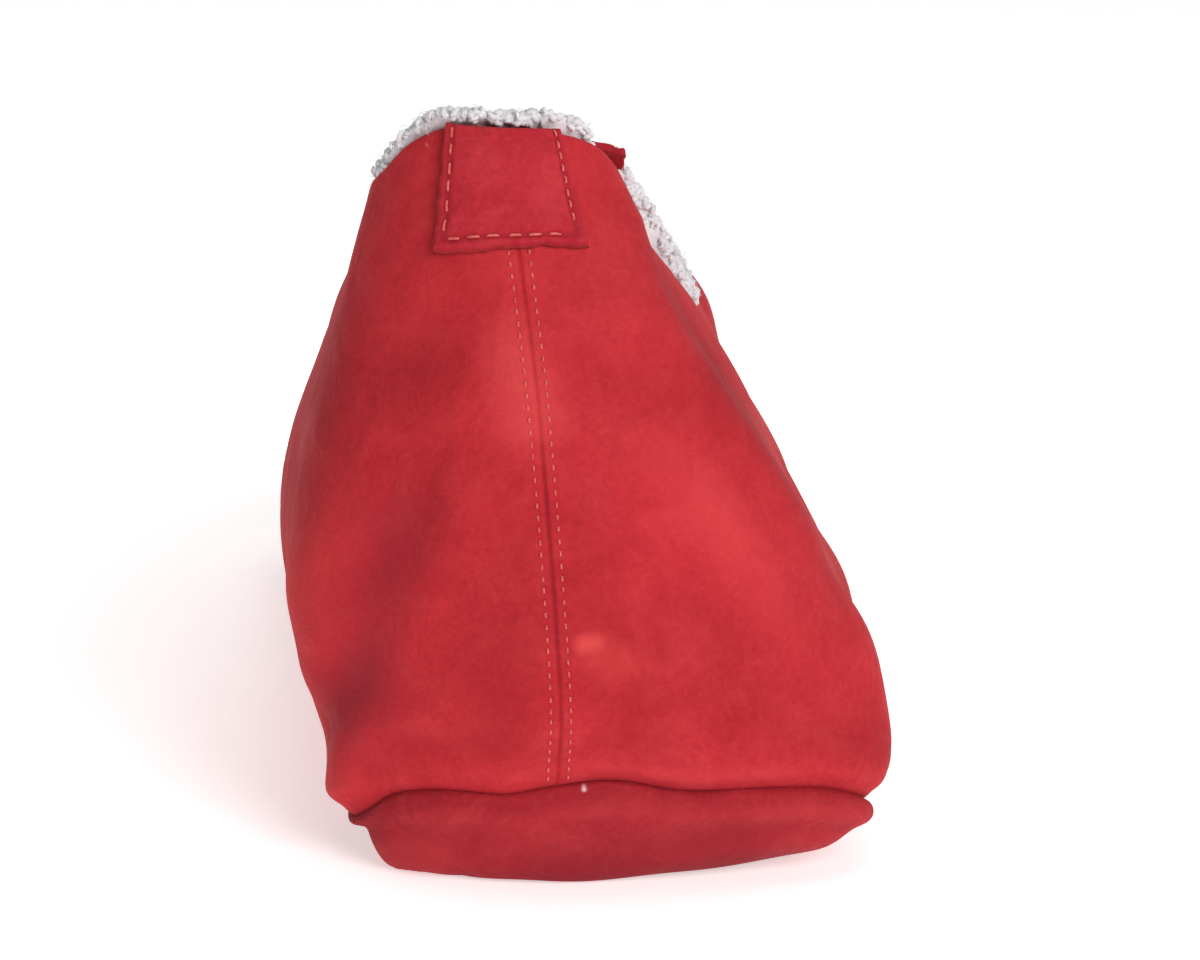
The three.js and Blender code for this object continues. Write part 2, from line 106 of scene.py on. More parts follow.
def mesh_object(name, points, faces, finish):
    """Points [n, 3] in millimetres and faces [m, 3 or 4] as an object at the origin."""
    mesh = bpy.data.meshes.new(name)
    sides = faces.shape[1]
    mesh.vertices.add(len(points))
    mesh.vertices.foreach_set("co", (points * MM).astype(np.float32).ravel())
    mesh.loops.add(faces.size)
    mesh.loops.foreach_set("vertex_index", faces.astype(np.int32).ravel())
    mesh.polygons.add(len(faces))
    mesh.polygons.foreach_set("loop_start", np.arange(0, faces.size, sides, dtype=np.int32))
    mesh.polygons.foreach_set("use_smooth", np.ones(len(faces), bool))
    mesh.update(calc_edges=True)
    mesh.validate()
    mesh.materials.append(finish)
    made = bpy.data.objects.new(name, mesh)
    bpy.context.scene.collection.objects.link(made)
    return made


# Paper: matt and nearly white. A little light of its own bleaches it, as the photo's ground is.
paper, tree, out = material("paper_sweep")
surface = node(tree, "ShaderNodeBsdfPrincipled", {
    "Base Color": linear("#FAFAFA"), "Roughness": 0.9,
    "Emission Color": linear("#FFFFFF"), "Emission Strength": 0.52})
tree.links.new(surface.outputs[0], out.inputs[0])

# A level floor that bends up into a wall far behind, as a profile carried sideways.
FRONT, BEND, BEND_RADIUS, WALL_HEIGHT, HALF_WIDTH = -3000.0, 2200.0, 800.0, 3500.0, 4000.0
turn = np.linspace(0, np.pi / 2, 24)
curve = np.stack([BEND + BEND_RADIUS * np.sin(turn), BEND_RADIUS - BEND_RADIUS * np.cos(turn)], 1)
profile = np.concatenate([[[FRONT, 0]], curve, [[BEND + BEND_RADIUS, WALL_HEIGHT]]])
wide = np.array([-HALF_WIDTH, HALF_WIDTH])
sweep = np.stack([np.repeat(wide, len(profile)), *np.tile(profile.T, 2)], 1)
k = np.arange(len(profile) - 1)
floor = mesh_object("paper_sweep", sweep,
                    np.stack([k, k + len(profile), k + len(profile) + 1, k + 1], 1), paper)

world = bpy.data.worlds.new("room")
bpy.context.scene.world = world
world.use_nodes = True
world.node_tree.nodes["Background"].inputs[0].default_value = linear("#FFFDFC")
world.node_tree.nodes["Background"].inputs[1].default_value = 0.12
AIMED_AT = Vector((0, -0.03, 0.05))
for name, place, size, power in (  # places and sizes in metres, power in watts
        ("window_right", (0.6, -1.35, 0.85), 0.9, 15.5),
        ("window_left", (-1.3, -0.9, 0.8), 1.0, 0.2),
        ("lamp_above", (0.1, -0.1, 1.6), 1.2, 6.2)):
    light = bpy.data.lights.new(name, "AREA")
    light.shape, light.size, light.energy = "DISK", size, power
    lamp = bpy.data.objects.new(name, light)
    bpy.context.scene.collection.objects.link(lamp)
    lamp.location = place
    lamp.rotation_euler = (AIMED_AT - Vector(place)).to_track_quat("-Z", "Y").to_euler()

# The upper: two halves of red nubuck calf, about 2 mm thick, closed by a seam up the back and one
# down the front, lasted soft and unlined but for the fleece. Its edges are turned and rounded.

LENGTH, BODY_WIDTH, SOLE_WIDTH, COLLAR_WIDTH = 260.0, 96.0, 88.0, 74.0
BACK_HEIGHT, SIDE_HEIGHT, THROAT_HEIGHT, TOE_HEIGHT = 111.0, 76.0, 90.0, 44.0
SWELL_HEIGHT, SEAM_HEIGHT = 40.0, 17.0
LEATHER, GAP = 2.2, 0.3
# Ribs round the last from the heel over the outer side to the toe and back: the height of the
# collar there, then seam, swell, shoulder, top and ground as shares across, along and up.
RIBS = np.array([
    [BACK_HEIGHT, -.12, -.945, 1.0, -.12, -1.0, .85, -.21, -.945, .68, -.42, -.8, 1.0, -.14, -.895, 0],
    [BACK_HEIGHT, -.74, -.865, .66, -.83, -.86, .95, -.78, -.83, .66, -.88, -.73, .95, -.5, -.82, 0],
    [BACK_HEIGHT, -.77, -.66, .42, -.95, -.645, 1.02, -.89, -.62, .6, -.9, -.56, .835, -.6, -.63, 0],
    [SIDE_HEIGHT, -.69, -.4, .32, -.95, -.39, .92, -.86, -.36, .84, -.95, -.33, 1.05, -.52, -.39, 0],
    [SIDE_HEIGHT, -.7, -.12, .36, -.94, -.12, .82, -.8, -.1, .82, -.72, -.1, 1.08, -.52, -.12, .06],
    [THROAT_HEIGHT, -.83, .13, .42, -.93, .12, .76, -.69, .11, .71, -.05, .03, 1.0, -.64, .13, 0],
    [THROAT_HEIGHT, -.92, .37, .55, -.91, .35, .7, -.67, .34, .61, -.04, .27, .81, -.74, .37, 0],
    [TOE_HEIGHT, -.94, .59, .65, -.91, .58, .62, -.65, .56, 1.0, .04, .53, 1.33, -.76, .58, 0],
    [TOE_HEIGHT, -.6, .8, .85, -.59, .82, .6, -.38, .78, .86, .14, .74, 1.05, -.42, .71, .1],
    [TOE_HEIGHT, .26, .945, .95, .24, 1.0, .62, .22, .955, .8, .22, .86, .97, .24, .83, .22],
    [TOE_HEIGHT, .93, .85, .85, .9, .87, .6, .58, .83, .86, .14, .74, 1.05, .66, .75, .1],
    [TOE_HEIGHT, 1.0, .6, .65, 1.01, .6, .58, .67, .58, .98, .04, .53, 1.33, .8, .58, 0],
    [THROAT_HEIGHT, .96, .37, .55, .99, .37, .62, .63, .35, .6, -.04, .27, .81, .78, .37, 0],
    [THROAT_HEIGHT, .84, .13, .42, .97, .15, .6, .55, .11, .69, -.05, .03, 1.0, .64, .13, 0],
    [SIDE_HEIGHT, .69, -.12, .42, .98, -.03, .6, .58, -.06, .79, .45, -.11, 1.05, .5, -.12, .1],
    [SIDE_HEIGHT, .62, -.4, .32, .99, -.34, .55, .64, -.34, .74, .54, -.35, .99, .44, -.39, 0],
    [BACK_HEIGHT, .76, -.66, .42, .99, -.63, .46, .6, -.645, .54, .27, -.59, .79, .56, -.63, 0],
    [BACK_HEIGHT, .93, -.855, .86, .87, -.86, .6, .51, -.84, .6, .1, -.73, .94, .46, -.8, 0],
])
COUNT = len(RIBS)
HALF = COUNT // 2  # the toe's rib
THROAT = 5  # the rib where the mouth ends and the vamp's ridge begins


def places(first, width, height=None):
    """One row of rib points in millimetres, from the shares in the table."""
    share = RIBS[:, first:first + 3]
    tall = RIBS[:, 0] if height is None else height
    return np.stack([share[:, 0] * width / 2, share[:, 1] * LENGTH / 2, share[:, 2] * tall], 1)


SEAM = places(1, SOLE_WIDTH, SEAM_HEIGHT)
SWELL = places(4, BODY_WIDTH, SWELL_HEIGHT)
SHOULDER = places(7, BODY_WIDTH)
TOP = places(10, COLLAR_WIDTH)
GROUND = places(13, SOLE_WIDTH, SEAM_HEIGHT)
MOUTH = np.concatenate([TOP[-THROAT:], TOP[:THROAT]])
RIDGE = TOP[THROAT:HALF + 1]


def cubic(a, b, leave, arrive, u):
    """The cubic from a to b that leaves along one slope and arrives along the other, at 0 to 1."""
    v = 1 - u
    return (a * v * v * (1 + 2 * u) + b * u * u * (3 - 2 * u)
            + leave * u * v * v - arrive * u * u * v)


def through(line, t, closed):
    """A smooth curve through points at whole t: cubics whose slope at a point is half the way
    between its two neighbours, or the whole way at an open end."""
    n = len(line)
    i = np.floor(t).astype(int)
    if not closed:
        i = np.clip(i, 0, n - 2)

    def at(k):
        return line[k % n] if closed else line[np.clip(k, 0, n - 1)]

    def slope(k):
        whole = np.zeros(k.shape, bool) if closed else (k <= 0) | (k >= n - 1)
        return (at(k + 1) - at(k - 1)) * np.where(whole, 1.0, 0.5)[..., None]
    return cubic(at(i), at(i + 1), slope(i), slope(i + 1), (t - i)[..., None])


def smooth(u):
    """0 to 1 with level ends."""
    u = np.clip(u, 0, 1)
    return u * u * (3 - 2 * u)


def hill(distance, middle, reach):
    """A rounded hill, one high at the middle and about a third of that at reach from it."""
    return np.exp(-((distance - middle) / reach) ** 2)


def side_of(t):
    """Rib places counted from the heel: positive on the outer side, negative on the inner."""
    t = np.mod(t, COUNT)
    return np.where(t > HALF, t - COUNT, t)


# What the picture's slipper adds to the table. The sewn line rises and dips by so much at every fifth
# of a rib, from 2 on the inner side of the heel to 2 on the outer. The mouth's edge stands off across
# and up by so much at every quarter of a rib, from 3 on the inner side to 1.75 on the outer.
WAVES_END, EASE_START, EASE_END = 2, -3, 1.75
SEAM_WAVE = np.array([
    0, -.8, -1.6, -2.2, -2.5, -1.9, -.8, -.8, -1.1, .6, 0,
    -.9, .2, 1.0, .8, -1.4, -2.8, -2.8, -2.0, -.8, 0])
MOUTH_EASE = np.array([
    [0, 0], [.6, 0], [1.2, 0], [1.8, 0], [2.0, 0], [.4, 0], [-2.0, 0], [-2.7, 0], [-.9, .2], [0, 1.8],
    [0, 2.0], [0, 1.4], [0, 1.2], [0, 1.4], [0, 1.8], [0, .7], [0, -1.3], [0, -1.0], [0, -.4], [0, 0]])


def seam_line(t):
    """The line where upper and sole are sewn: the table's, with its waves round the heel."""
    line = through(SEAM, t, True)
    place = np.clip(side_of(t), -WAVES_END, WAVES_END) + WAVES_END
    line[..., 2] += through(SEAM_WAVE[:, None], place * 5, False)[..., 0]
    return line


def unit(a):
    """Vectors of length one."""
    return a / np.maximum(np.linalg.norm(a, axis=-1, keepdims=True), 1e-12)


def level(a):
    """Vectors without their height."""
    return a * np.array([1.0, 1.0, 0.0])


def top_line(t):
    """The mouth's edge, a closed ring, up to the throat; the vamp's ridge from there to the toe."""
    s = side_of(t)
    line = np.where((np.abs(s) <= THROAT)[..., None], through(MOUTH, s + THROAT, True),
                    through(RIDGE, np.abs(s) - THROAT, False))
    line[..., [0, 2]] += through(MOUTH_EASE, (np.clip(s, EASE_START, EASE_END) - EASE_START) * 4, False)
    return line


def upper_point(t, v):
    """The last at rib place t and row place v: cubics from the seam (0) over the swell (1) and the
    shoulder (2) to the top line (3). Toward the ridge the last one arrives level across it."""
    t, v = np.broadcast_arrays(np.asarray(t, float), np.asarray(v, float))
    stops = [seam_line(t), through(SWELL, t, True), through(SHOULDER, t, True), top_line(t)]
    seam, swell, shoulder, top = stops
    s = np.abs(side_of(t))
    crown = smooth((s - THROAT + 1.5) / 2.5)[..., None]
    rise = top - shoulder
    over = unit(level(rise)) * np.linalg.norm(rise, axis=-1, keepdims=True)
    on_ridge = np.clip(s, THROAT, HALF) - THROAT
    run = (through(RIDGE, np.minimum(on_ridge + .05, HALF - THROAT), False)
           - through(RIDGE, np.maximum(on_ridge - .05, 0), False))
    over[..., 2] = over[..., 1] * run[..., 2] / run[..., 1]
    leave = swell - seam
    slopes = [leave + .5 * level(leave), .5 * (shoulder - seam), .5 * (top - swell),
              .9 * (1 - crown) * rise + crown * over]
    span = np.clip(np.floor(v).astype(int), 0, 2)
    u = (v - span)[..., None]
    out = np.zeros(t.shape + (3,))
    for k in range(3):
        part = cubic(stops[k], stops[k + 1], slopes[k], slopes[k + 1], u)
        out = np.where((span == k)[..., None], part, out)
    return out


# The last at quarters of a rib and thirds of a row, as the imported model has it.
coarse_t = np.arange(COUNT * 4) / 4
coarse_grid = upper_point(coarse_t[:, None], (np.arange(10) / 3)[None])
# Its box stands centred on the origin there.
SHIFT = level(coarse_grid.min((0, 1)) + coarse_grid.max((0, 1))) / 2


def opposite(columns):
    """The column across from each of so many round the last, which start at the heel."""
    return (columns - np.arange(columns)) % columns


def spread(start, end, count, spacing):
    """Places from start to end whose distances follow spacing(place)."""
    fine = np.linspace(start, end, 4001)
    run = np.concatenate([[0], np.cumsum(1 / spacing((fine[1:] + fine[:-1]) / 2))])
    return np.interp(np.linspace(0, 1, count), run / run[-1], fine)


to_throat = spread(0, THROAT, 151, lambda t: np.clip(0.006 + 0.1 * t, 0.006, 0.04))
to_toe = spread(THROAT, HALF, 105, lambda t: np.clip(0.014 + 0.1 * (HALF - 0.12 - t), 0.014, 0.042))
half = np.concatenate([to_throat, to_toe[1:]])
T = np.concatenate([half, COUNT - half[-2:0:-1]])  # both sides alike, so that they meet at the ridge
SIDE = side_of(T)
ON_RIDGE = np.abs(SIDE) >= THROAT - 1e-6
V = spread(0, 3, 118, lambda v: np.clip(0.008 + 0.12 * np.minimum(v, 3 - v), 0.008, 0.034))


def outward(grid, ridge, rising=1):
    """Normals of a grid of columns: the cross product of its slopes, shared where the sides meet;
    rising is -1 where the columns run downward."""
    round_ = np.roll(grid, -1, 0) - np.roll(grid, 1, 0)
    along = np.gradient(grid, axis=1)
    out = unit(np.cross(along, round_)) * rising
    both = unit(out[:, -1] + out[opposite(len(grid)), -1])
    out[:, -1] = np.where(ridge[:, None], both, out[:, -1])
    return out


def shared_end(values, ridge):
    """Makes the last row of a grid alike on both sides where they meet there."""
    both = (values[:, -1] + values[opposite(len(values)), -1]) / 2
    values[ridge, -1] = both[ridge]


def run_along(lines):
    """How far each point is along its line from the line's first; lines [..., points, 3]."""
    step = np.linalg.norm(np.diff(lines, axis=-2), axis=-1)
    return np.concatenate([np.zeros(step.shape[:-1] + (1,)), np.cumsum(step, -1)], -1)


def at_length(places, far, line):
    """The points of a line at given distances along it; far is its own points' distances."""
    return np.stack([np.interp(places, far, line[:, k]) for k in range(3)], -1)


def between(grid, i, j, k, a, b):
    """A grid read by straight lines, at share a from column i to column j and at share b from row k
    to the next."""
    return ((grid[i, k] * (1 - a) + grid[j, k] * a) * (1 - b)
            + (grid[i, k + 1] * (1 - a) + grid[j, k + 1] * a) * b)


def nearest(points, line, reach):
    """How far points are from a line of points, and how far along it, 0 to 1, the nearest place is;
    beyond reach the distance is only that."""
    best = np.full(points.shape[:-1], reach)
    place = np.zeros(points.shape[:-1])
    inside = np.all((points > line.min(0) - reach) & (points < line.max(0) + reach), axis=-1)
    some, dist, where = points[inside], best[inside], place[inside]
    for k in range(len(line) - 1):
        piece = line[k + 1] - line[k]
        part = np.clip((some - line[k]) @ piece / (piece @ piece), 0, 1)
        gap = np.linalg.norm(some - line[k] - part[:, None] * piece, axis=1)
        closer = gap < dist
        dist = np.where(closer, gap, dist)
        where = np.where(closer, (k + part) / (len(line) - 1), where)
    best[inside], place[inside] = dist, where
    return best, place


def waves(points, seed, count, shortest, longest):
    """Even, seeded unevenness of about -1 to 1: a sum of sine waves in random directions with
    lengths between the two given."""
    rng = np.random.default_rng(seed)
    way = unit(rng.normal(size=(count, 3))) * (2 * np.pi / rng.uniform(shortest, longest, count))[:, None]
    phase = rng.uniform(0, 2 * np.pi, count)
    total = np.zeros(points.shape[:-1])
    for direction, start in zip(way, phase):
        total += np.sin(points @ direction + start)
    return total / np.sqrt(count)


LAST = upper_point(T[:, None], V[None])
LAST_OUT = outward(LAST, ON_RIDGE)
from_seam = run_along(LAST)
mouth_edge = upper_point(np.linspace(-THROAT, THROAT, 240), np.full(240, 3.0))
MOUTH_REACH, SEAM_REACH = 12.0, 9.0  # the relief beside them ends within these
to_mouth = nearest(LAST, mouth_edge, MOUTH_REACH)[0]

# Seams: up the back, and over the front from the throat to the toe.
back_line = upper_point(np.zeros(160), np.linspace(0, 3, 160))
front_line = np.concatenate([upper_point(np.linspace(THROAT, HALF, 120), np.full(120, 3.0)),
                             upper_point(np.full(60, float(HALF)), np.linspace(3, 0, 60))[1:]])
to_back = nearest(LAST, back_line, SEAM_REACH)[0]
to_front = nearest(LAST, front_line, SEAM_REACH)[0]
STITCH_OFF = 1.45  # a row of stitches on either side of a seam


def seam_relief(away):
    """A closed seam: a narrow valley where the two edges turn in, a low swell over each seam
    allowance and a shallow channel pulled in by the stitches."""
    return -0.26 * hill(away, 0, 0.28) + 0.12 * hill(away, 1.6, 1.6) - 0.08 * hill(away, STITCH_OFF, 0.4)


# Creases and folds: places (rib, row) that each runs through, half its width and its
# depth in millimetres, a ridge where that is negative.
FOLDS = [
    # outer side of the heel, low, where the soft leather slumps over the sole
    ([(1.45, .35), (.95, .72), (.66, 1.06)], 4.2, 1.5),
    ([(1.2, .2), (.8, .42), (.42, .62)], 3.6, -1.1),
    ([(1.7, .12), (1.25, .12), (.9, .2)], 6.0, -2.2),
    ([(.85, 1.15), (.6, 1.5), (.5, 1.85)], 6.0, 1.1),
    ([(1.6, .9), (1.1, 1.2), (.8, 1.55)], 6.5, -1.0),
    ([(.3, .35), (.22, .75), (.2, 1.1)], 4.5, .45),
    # inner side of the heel: the hollow below the tab, and long folds toward the swell
    ([(-.24, 2.32), (-.5, 2.14), (-.8, 1.98)], 6.5, 1.0),
    ([(-.18, 2.05), (-.4, 1.84), (-.62, 1.62)], 5.5, -.7),
    ([(-.35, 1.75), (-.5, 1.5), (-.64, 1.22)], 5.0, .8),
    # the inner corner of the heel leans in under the collar, and the far side swells beyond it
    ([(-1.05, 2.85), (-1.2, 2.55), (-1.32, 2.15), (-1.4, 1.7)], 11.0, 2.6),
    ([(-1.8, 1.36), (-1.45, 1.36), (-1.1, 1.15)], 8.0, -1.2),
    ([(-3.4, 2.75), (-3.8, 2.55), (-4.3, 2.5)], 8.0, -2.2),
    ([(-.7, 1.9), (-.95, 1.6), (-1.15, 1.2)], 6.0, .6),
    ([(-.2, .55), (-.5, .5), (-.85, .62)], 6.0, -.5),
    # along the collar and round the quarters
    ([(.25, 2.3), (.55, 2.1), (.9, 1.9)], 6.0, .7),
    ([(1.6, 2.4), (2.3, 2.2), (3.1, 2.3)], 7.0, .8),
    ([(2.9, 2.3), (3.2, 1.9), (3.3, 1.5), (3.2, 1.0)], 12.0, 1.6),
    ([(-2.8, 1.7), (-3.15, 1.55), (-3.5, 1.5)], 8.0, .9),
    ([(-5.5, 1.9), (-5.85, 1.6), (-6.2, 1.3)], 9.0, 1.3),
    ([(3.2, .7), (3.9, .9), (4.5, 1.5)], 6.5, .8),
    ([(-1.7, 2.2), (-2.3, 1.8), (-2.9, 1.7)], 7.5, .9),
    ([(-2.0, 1.0), (-2.7, .9), (-3.5, 1.2)], 8.0, -.7),
    ([(-3.3, 1.6), (-4.0, 1.7), (-4.6, 2.2)], 6.5, .8),
    # across the vamp, where it bends over the ball
    ([(6.1, 1.7), (6.35, 2.3), (6.5, 2.85)], 5.0, .7),
    ([(6.75, 1.5), (6.95, 2.1), (7.0, 2.8)], 4.6, .8),
    ([(-6.2, 1.8), (-6.45, 2.4), (-6.5, 2.85)], 5.0, .7),
    ([(-6.9, 1.5), (-7.05, 2.2), (-7.02, 2.8)], 4.6, .8),
    ([(7.7, .9), (7.6, 1.5), (7.7, 2.2)], 5.0, .5),
    ([(-7.9, 1.0), (-7.75, 1.6), (-7.7, 2.3)], 5.0, .5),
]


def fold_relief(points, folds, surface_at):
    """Each fold: a trough along its path with a softer swell beside it, fading at both ends."""
    total = np.zeros(points.shape[:-1])
    for path, width, depth in folds:
        line = through(np.array(path, float), np.linspace(0, len(path) - 1, 14), False)
        reach = 3.2 * width
        away, place = nearest(points, surface_at(line[:, 0], line[:, 1]), reach)
        fade = np.sin(np.pi * np.clip(place, 0.02, 0.98)) ** 0.6
        trough = hill(away, 0, width)
        swell = 0.35 * hill(away, 1.7 * width, 0.8 * width)
        total -= depth * fade * (trough - swell) * (away < reach)
    return total


def slack(points):
    """The soft hang of the leather between the folds: long waves and shorter ones."""
    return 0.35 * waves(points, 11, 14, 38, 80) + 0.12 * waves(points, 12, 18, 14, 26)


folds = fold_relief(LAST, FOLDS, upper_point)
hang = slack(LAST)
# The sewn edge at the bottom puffs out over the sole and turns in; the collar's edge is rounded.
pucker = 1 + 0.3 * waves(LAST, 13, 12, 7, 15)
lip = 0.75 * pucker * hill(from_seam, 3.4, 2.2) - 0.25 * hill(from_seam, 9.5, 3.5)
EDGE = 1.3  # how far from a cut edge the leather rounds off


def rounding(distance):
    """Half the wall lost at an edge, none a short way from it."""
    return LEATHER / 2 * (1 - np.sqrt(np.clip(1 - (1 - np.clip(distance / EDGE, 0, 1)) ** 2, 0, 1)))


CALM = 6.0  # folds die out so far from the edges
calm = smooth(np.minimum(from_seam, to_mouth) / CALM)
relief = calm * (folds + hang) + lip
relief += seam_relief(to_back) * smooth(from_seam / 3) + seam_relief(to_front) * smooth(to_mouth / 3)
shared_end(relief, ON_RIDGE)
SEAM_PRESS = 0.15  # how far upper and sole are pressed toward each other where they meet


def turned_in(surface, out, distance, press):
    """The skin at its sewn edge: its cut goes straight in, level and square to the sewn line, so that
    upper and sole meet on one line, where they press on each other a little."""
    line = seam_line(T)
    run = np.roll(line, -1, 0) - np.roll(line, 1, 0)
    square = unit(np.stack([run[:, 1], -run[:, 0], 0 * run[:, 0]], 1))
    square *= np.sign((square * out[:, 0]).sum(1))[:, None]
    near = (1 - smooth(distance / 2.0))[..., None]
    made = surface - unit(out * (1 - near) + square[:, None] * near) * rounding(distance)[..., None]
    made[..., 2] += press * near[..., 0]
    return made


OUTSIDE = LAST + LAST_OUT * (relief - rounding(to_mouth))[..., None]
OUTSIDE = turned_in(OUTSIDE, LAST_OUT, from_seam, -SEAM_PRESS)
WELD, SLIVER = 3e-7, 1e-7  # metres: points nearer than the first are one, edges under the second go


def welded(name, grids, finish, values=None):
    """One closed mesh from grids of points [columns, rows]; each is given with whether its faces are
    turned over and whether its last column joins its first. Points of different grids that coincide
    become one. values are named numbers per point, kept as attributes."""
    points, faces, start = [], [], 0
    for grid, turned, round_ in grids:
        n, m = grid.shape[:2]
        index = np.arange(n * m).reshape(n, m) + start
        if round_:
            index = np.concatenate([index, index[:1]])
        quads = np.stack([index[:-1, :-1], index[1:, :-1], index[1:, 1:], index[:-1, 1:]], -1)
        quads = quads.reshape(-1, 4)
        faces.append(quads[:, ::-1] if turned else quads)
        points.append(grid.reshape(-1, 3))
        start += n * m
    made = mesh_object(name, np.concatenate(points) - SHIFT, np.concatenate(faces), finish)
    for key, numbers in (values or {}).items():
        layer = made.data.attributes.new(key, "FLOAT", "POINT")
        flat = np.concatenate([x.ravel() for x in numbers])
        layer.data.foreach_set("value", flat.astype(np.float32))
    sheet = bmesh.new()
    sheet.from_mesh(made.data)
    bmesh.ops.remove_doubles(sheet, verts=sheet.verts, dist=WELD)
    bmesh.ops.dissolve_degenerate(sheet, edges=sheet.edges, dist=SLIVER)
    sheet.to_mesh(made.data)
    sheet.free()
    return made


# The inner face needs few rows, close together only at its two edges.
edge_rows = np.array([0, 0.006, 0.015, 0.03, 0.06])
inner_rows = np.concatenate([edge_rows, np.linspace(0.15, 2.85, 16), 3 - edge_rows[::-1]])
inner_base = upper_point(T[:, None], inner_rows[None])
inner_out = outward(inner_base, ON_RIDGE)
inner_seam = run_along(inner_base)
inner_mouth = nearest(inner_base, mouth_edge, MOUTH_REACH)[0]
pick = [int(np.argmin(np.abs(V - v))) for v in inner_rows]
follow = (calm * (folds + hang))[:, pick] * smooth(np.minimum(inner_seam, inner_mouth) / CALM)
depth = LEATHER - rounding(inner_seam) - rounding(inner_mouth)
# It sinks with the folds, but hardly swells with them.
INSIDE = inner_base + inner_out * (np.minimum(follow, 0.2) - depth)[..., None]
INSIDE[:, 0] = OUTSIDE[:, 0]
rim_columns = np.abs(SIDE) <= THROAT + 1e-6
INSIDE[rim_columns, -1] = OUTSIDE[rim_columns, -1]

# Nubuck: calf buffed on its grain side to a short nap. It scatters light at the edges, mottles
# where the nap lies differently and pales where it is rubbed; its folds carry painted shade and
# its swells painted highlight.
NUBUCK_DARK, NUBUCK, NUBUCK_LIGHT = "#86121E", "#C42B34", "#DA4345"


def mark(tree, position, start, end, width):
    """A soft mark on the surface: 1 along the line from start to end (millimetres in the frame),
    falling to 0 at width from it."""
    a, b = np.array(start) * MM, np.array(end) * MM
    run = b - a
    off = node(tree, "ShaderNodeVectorMath", {"operation": "SUBTRACT", 1: tuple(a)}, {0: position})
    dot = node(tree, "ShaderNodeVectorMath", {"operation": "DOT_PRODUCT", 1: tuple(run)}, {0: off.outputs[0]})
    part = node(tree, "ShaderNodeMath", {"operation": "DIVIDE", 1: float(run @ run), "use_clamp": True},
                {0: dot.outputs["Value"]})
    along = node(tree, "ShaderNodeVectorMath", {"operation": "SCALE", 0: tuple(run)},
                 {"Scale": part.outputs[0]})
    gap = node(tree, "ShaderNodeVectorMath", {"operation": "DISTANCE"},
               {0: off.outputs[0], 1: along.outputs[0]})
    return node(tree, "ShaderNodeMapRange", {"interpolation_type": "SMOOTHSTEP", "From Min": 0.0,
                "From Max": width * MM, "To Min": 1.0, "To Max": 0.0}, {"Value": gap.outputs["Value"]})


def tinted(tree, colour, tint, pattern, low, high, most):
    """A tint rubbed over a colour: none where the pattern is at low, the most where it is at high.
    The first coat's colour is a hex code, each later one's is what the coat before gave."""
    share = node(tree, "ShaderNodeMapRange", {"From Min": low, "From Max": high, "To Max": most},
                 {"Value": pattern})
    coat = node(tree, "ShaderNodeMix", {"data_type": "RGBA", 7: linear(tint)}, {0: share.outputs[0]})
    if isinstance(colour, str):
        coat.inputs[6].default_value = linear(colour)
    else:
        tree.links.new(colour, coat.inputs[6])
    return coat.outputs[2]


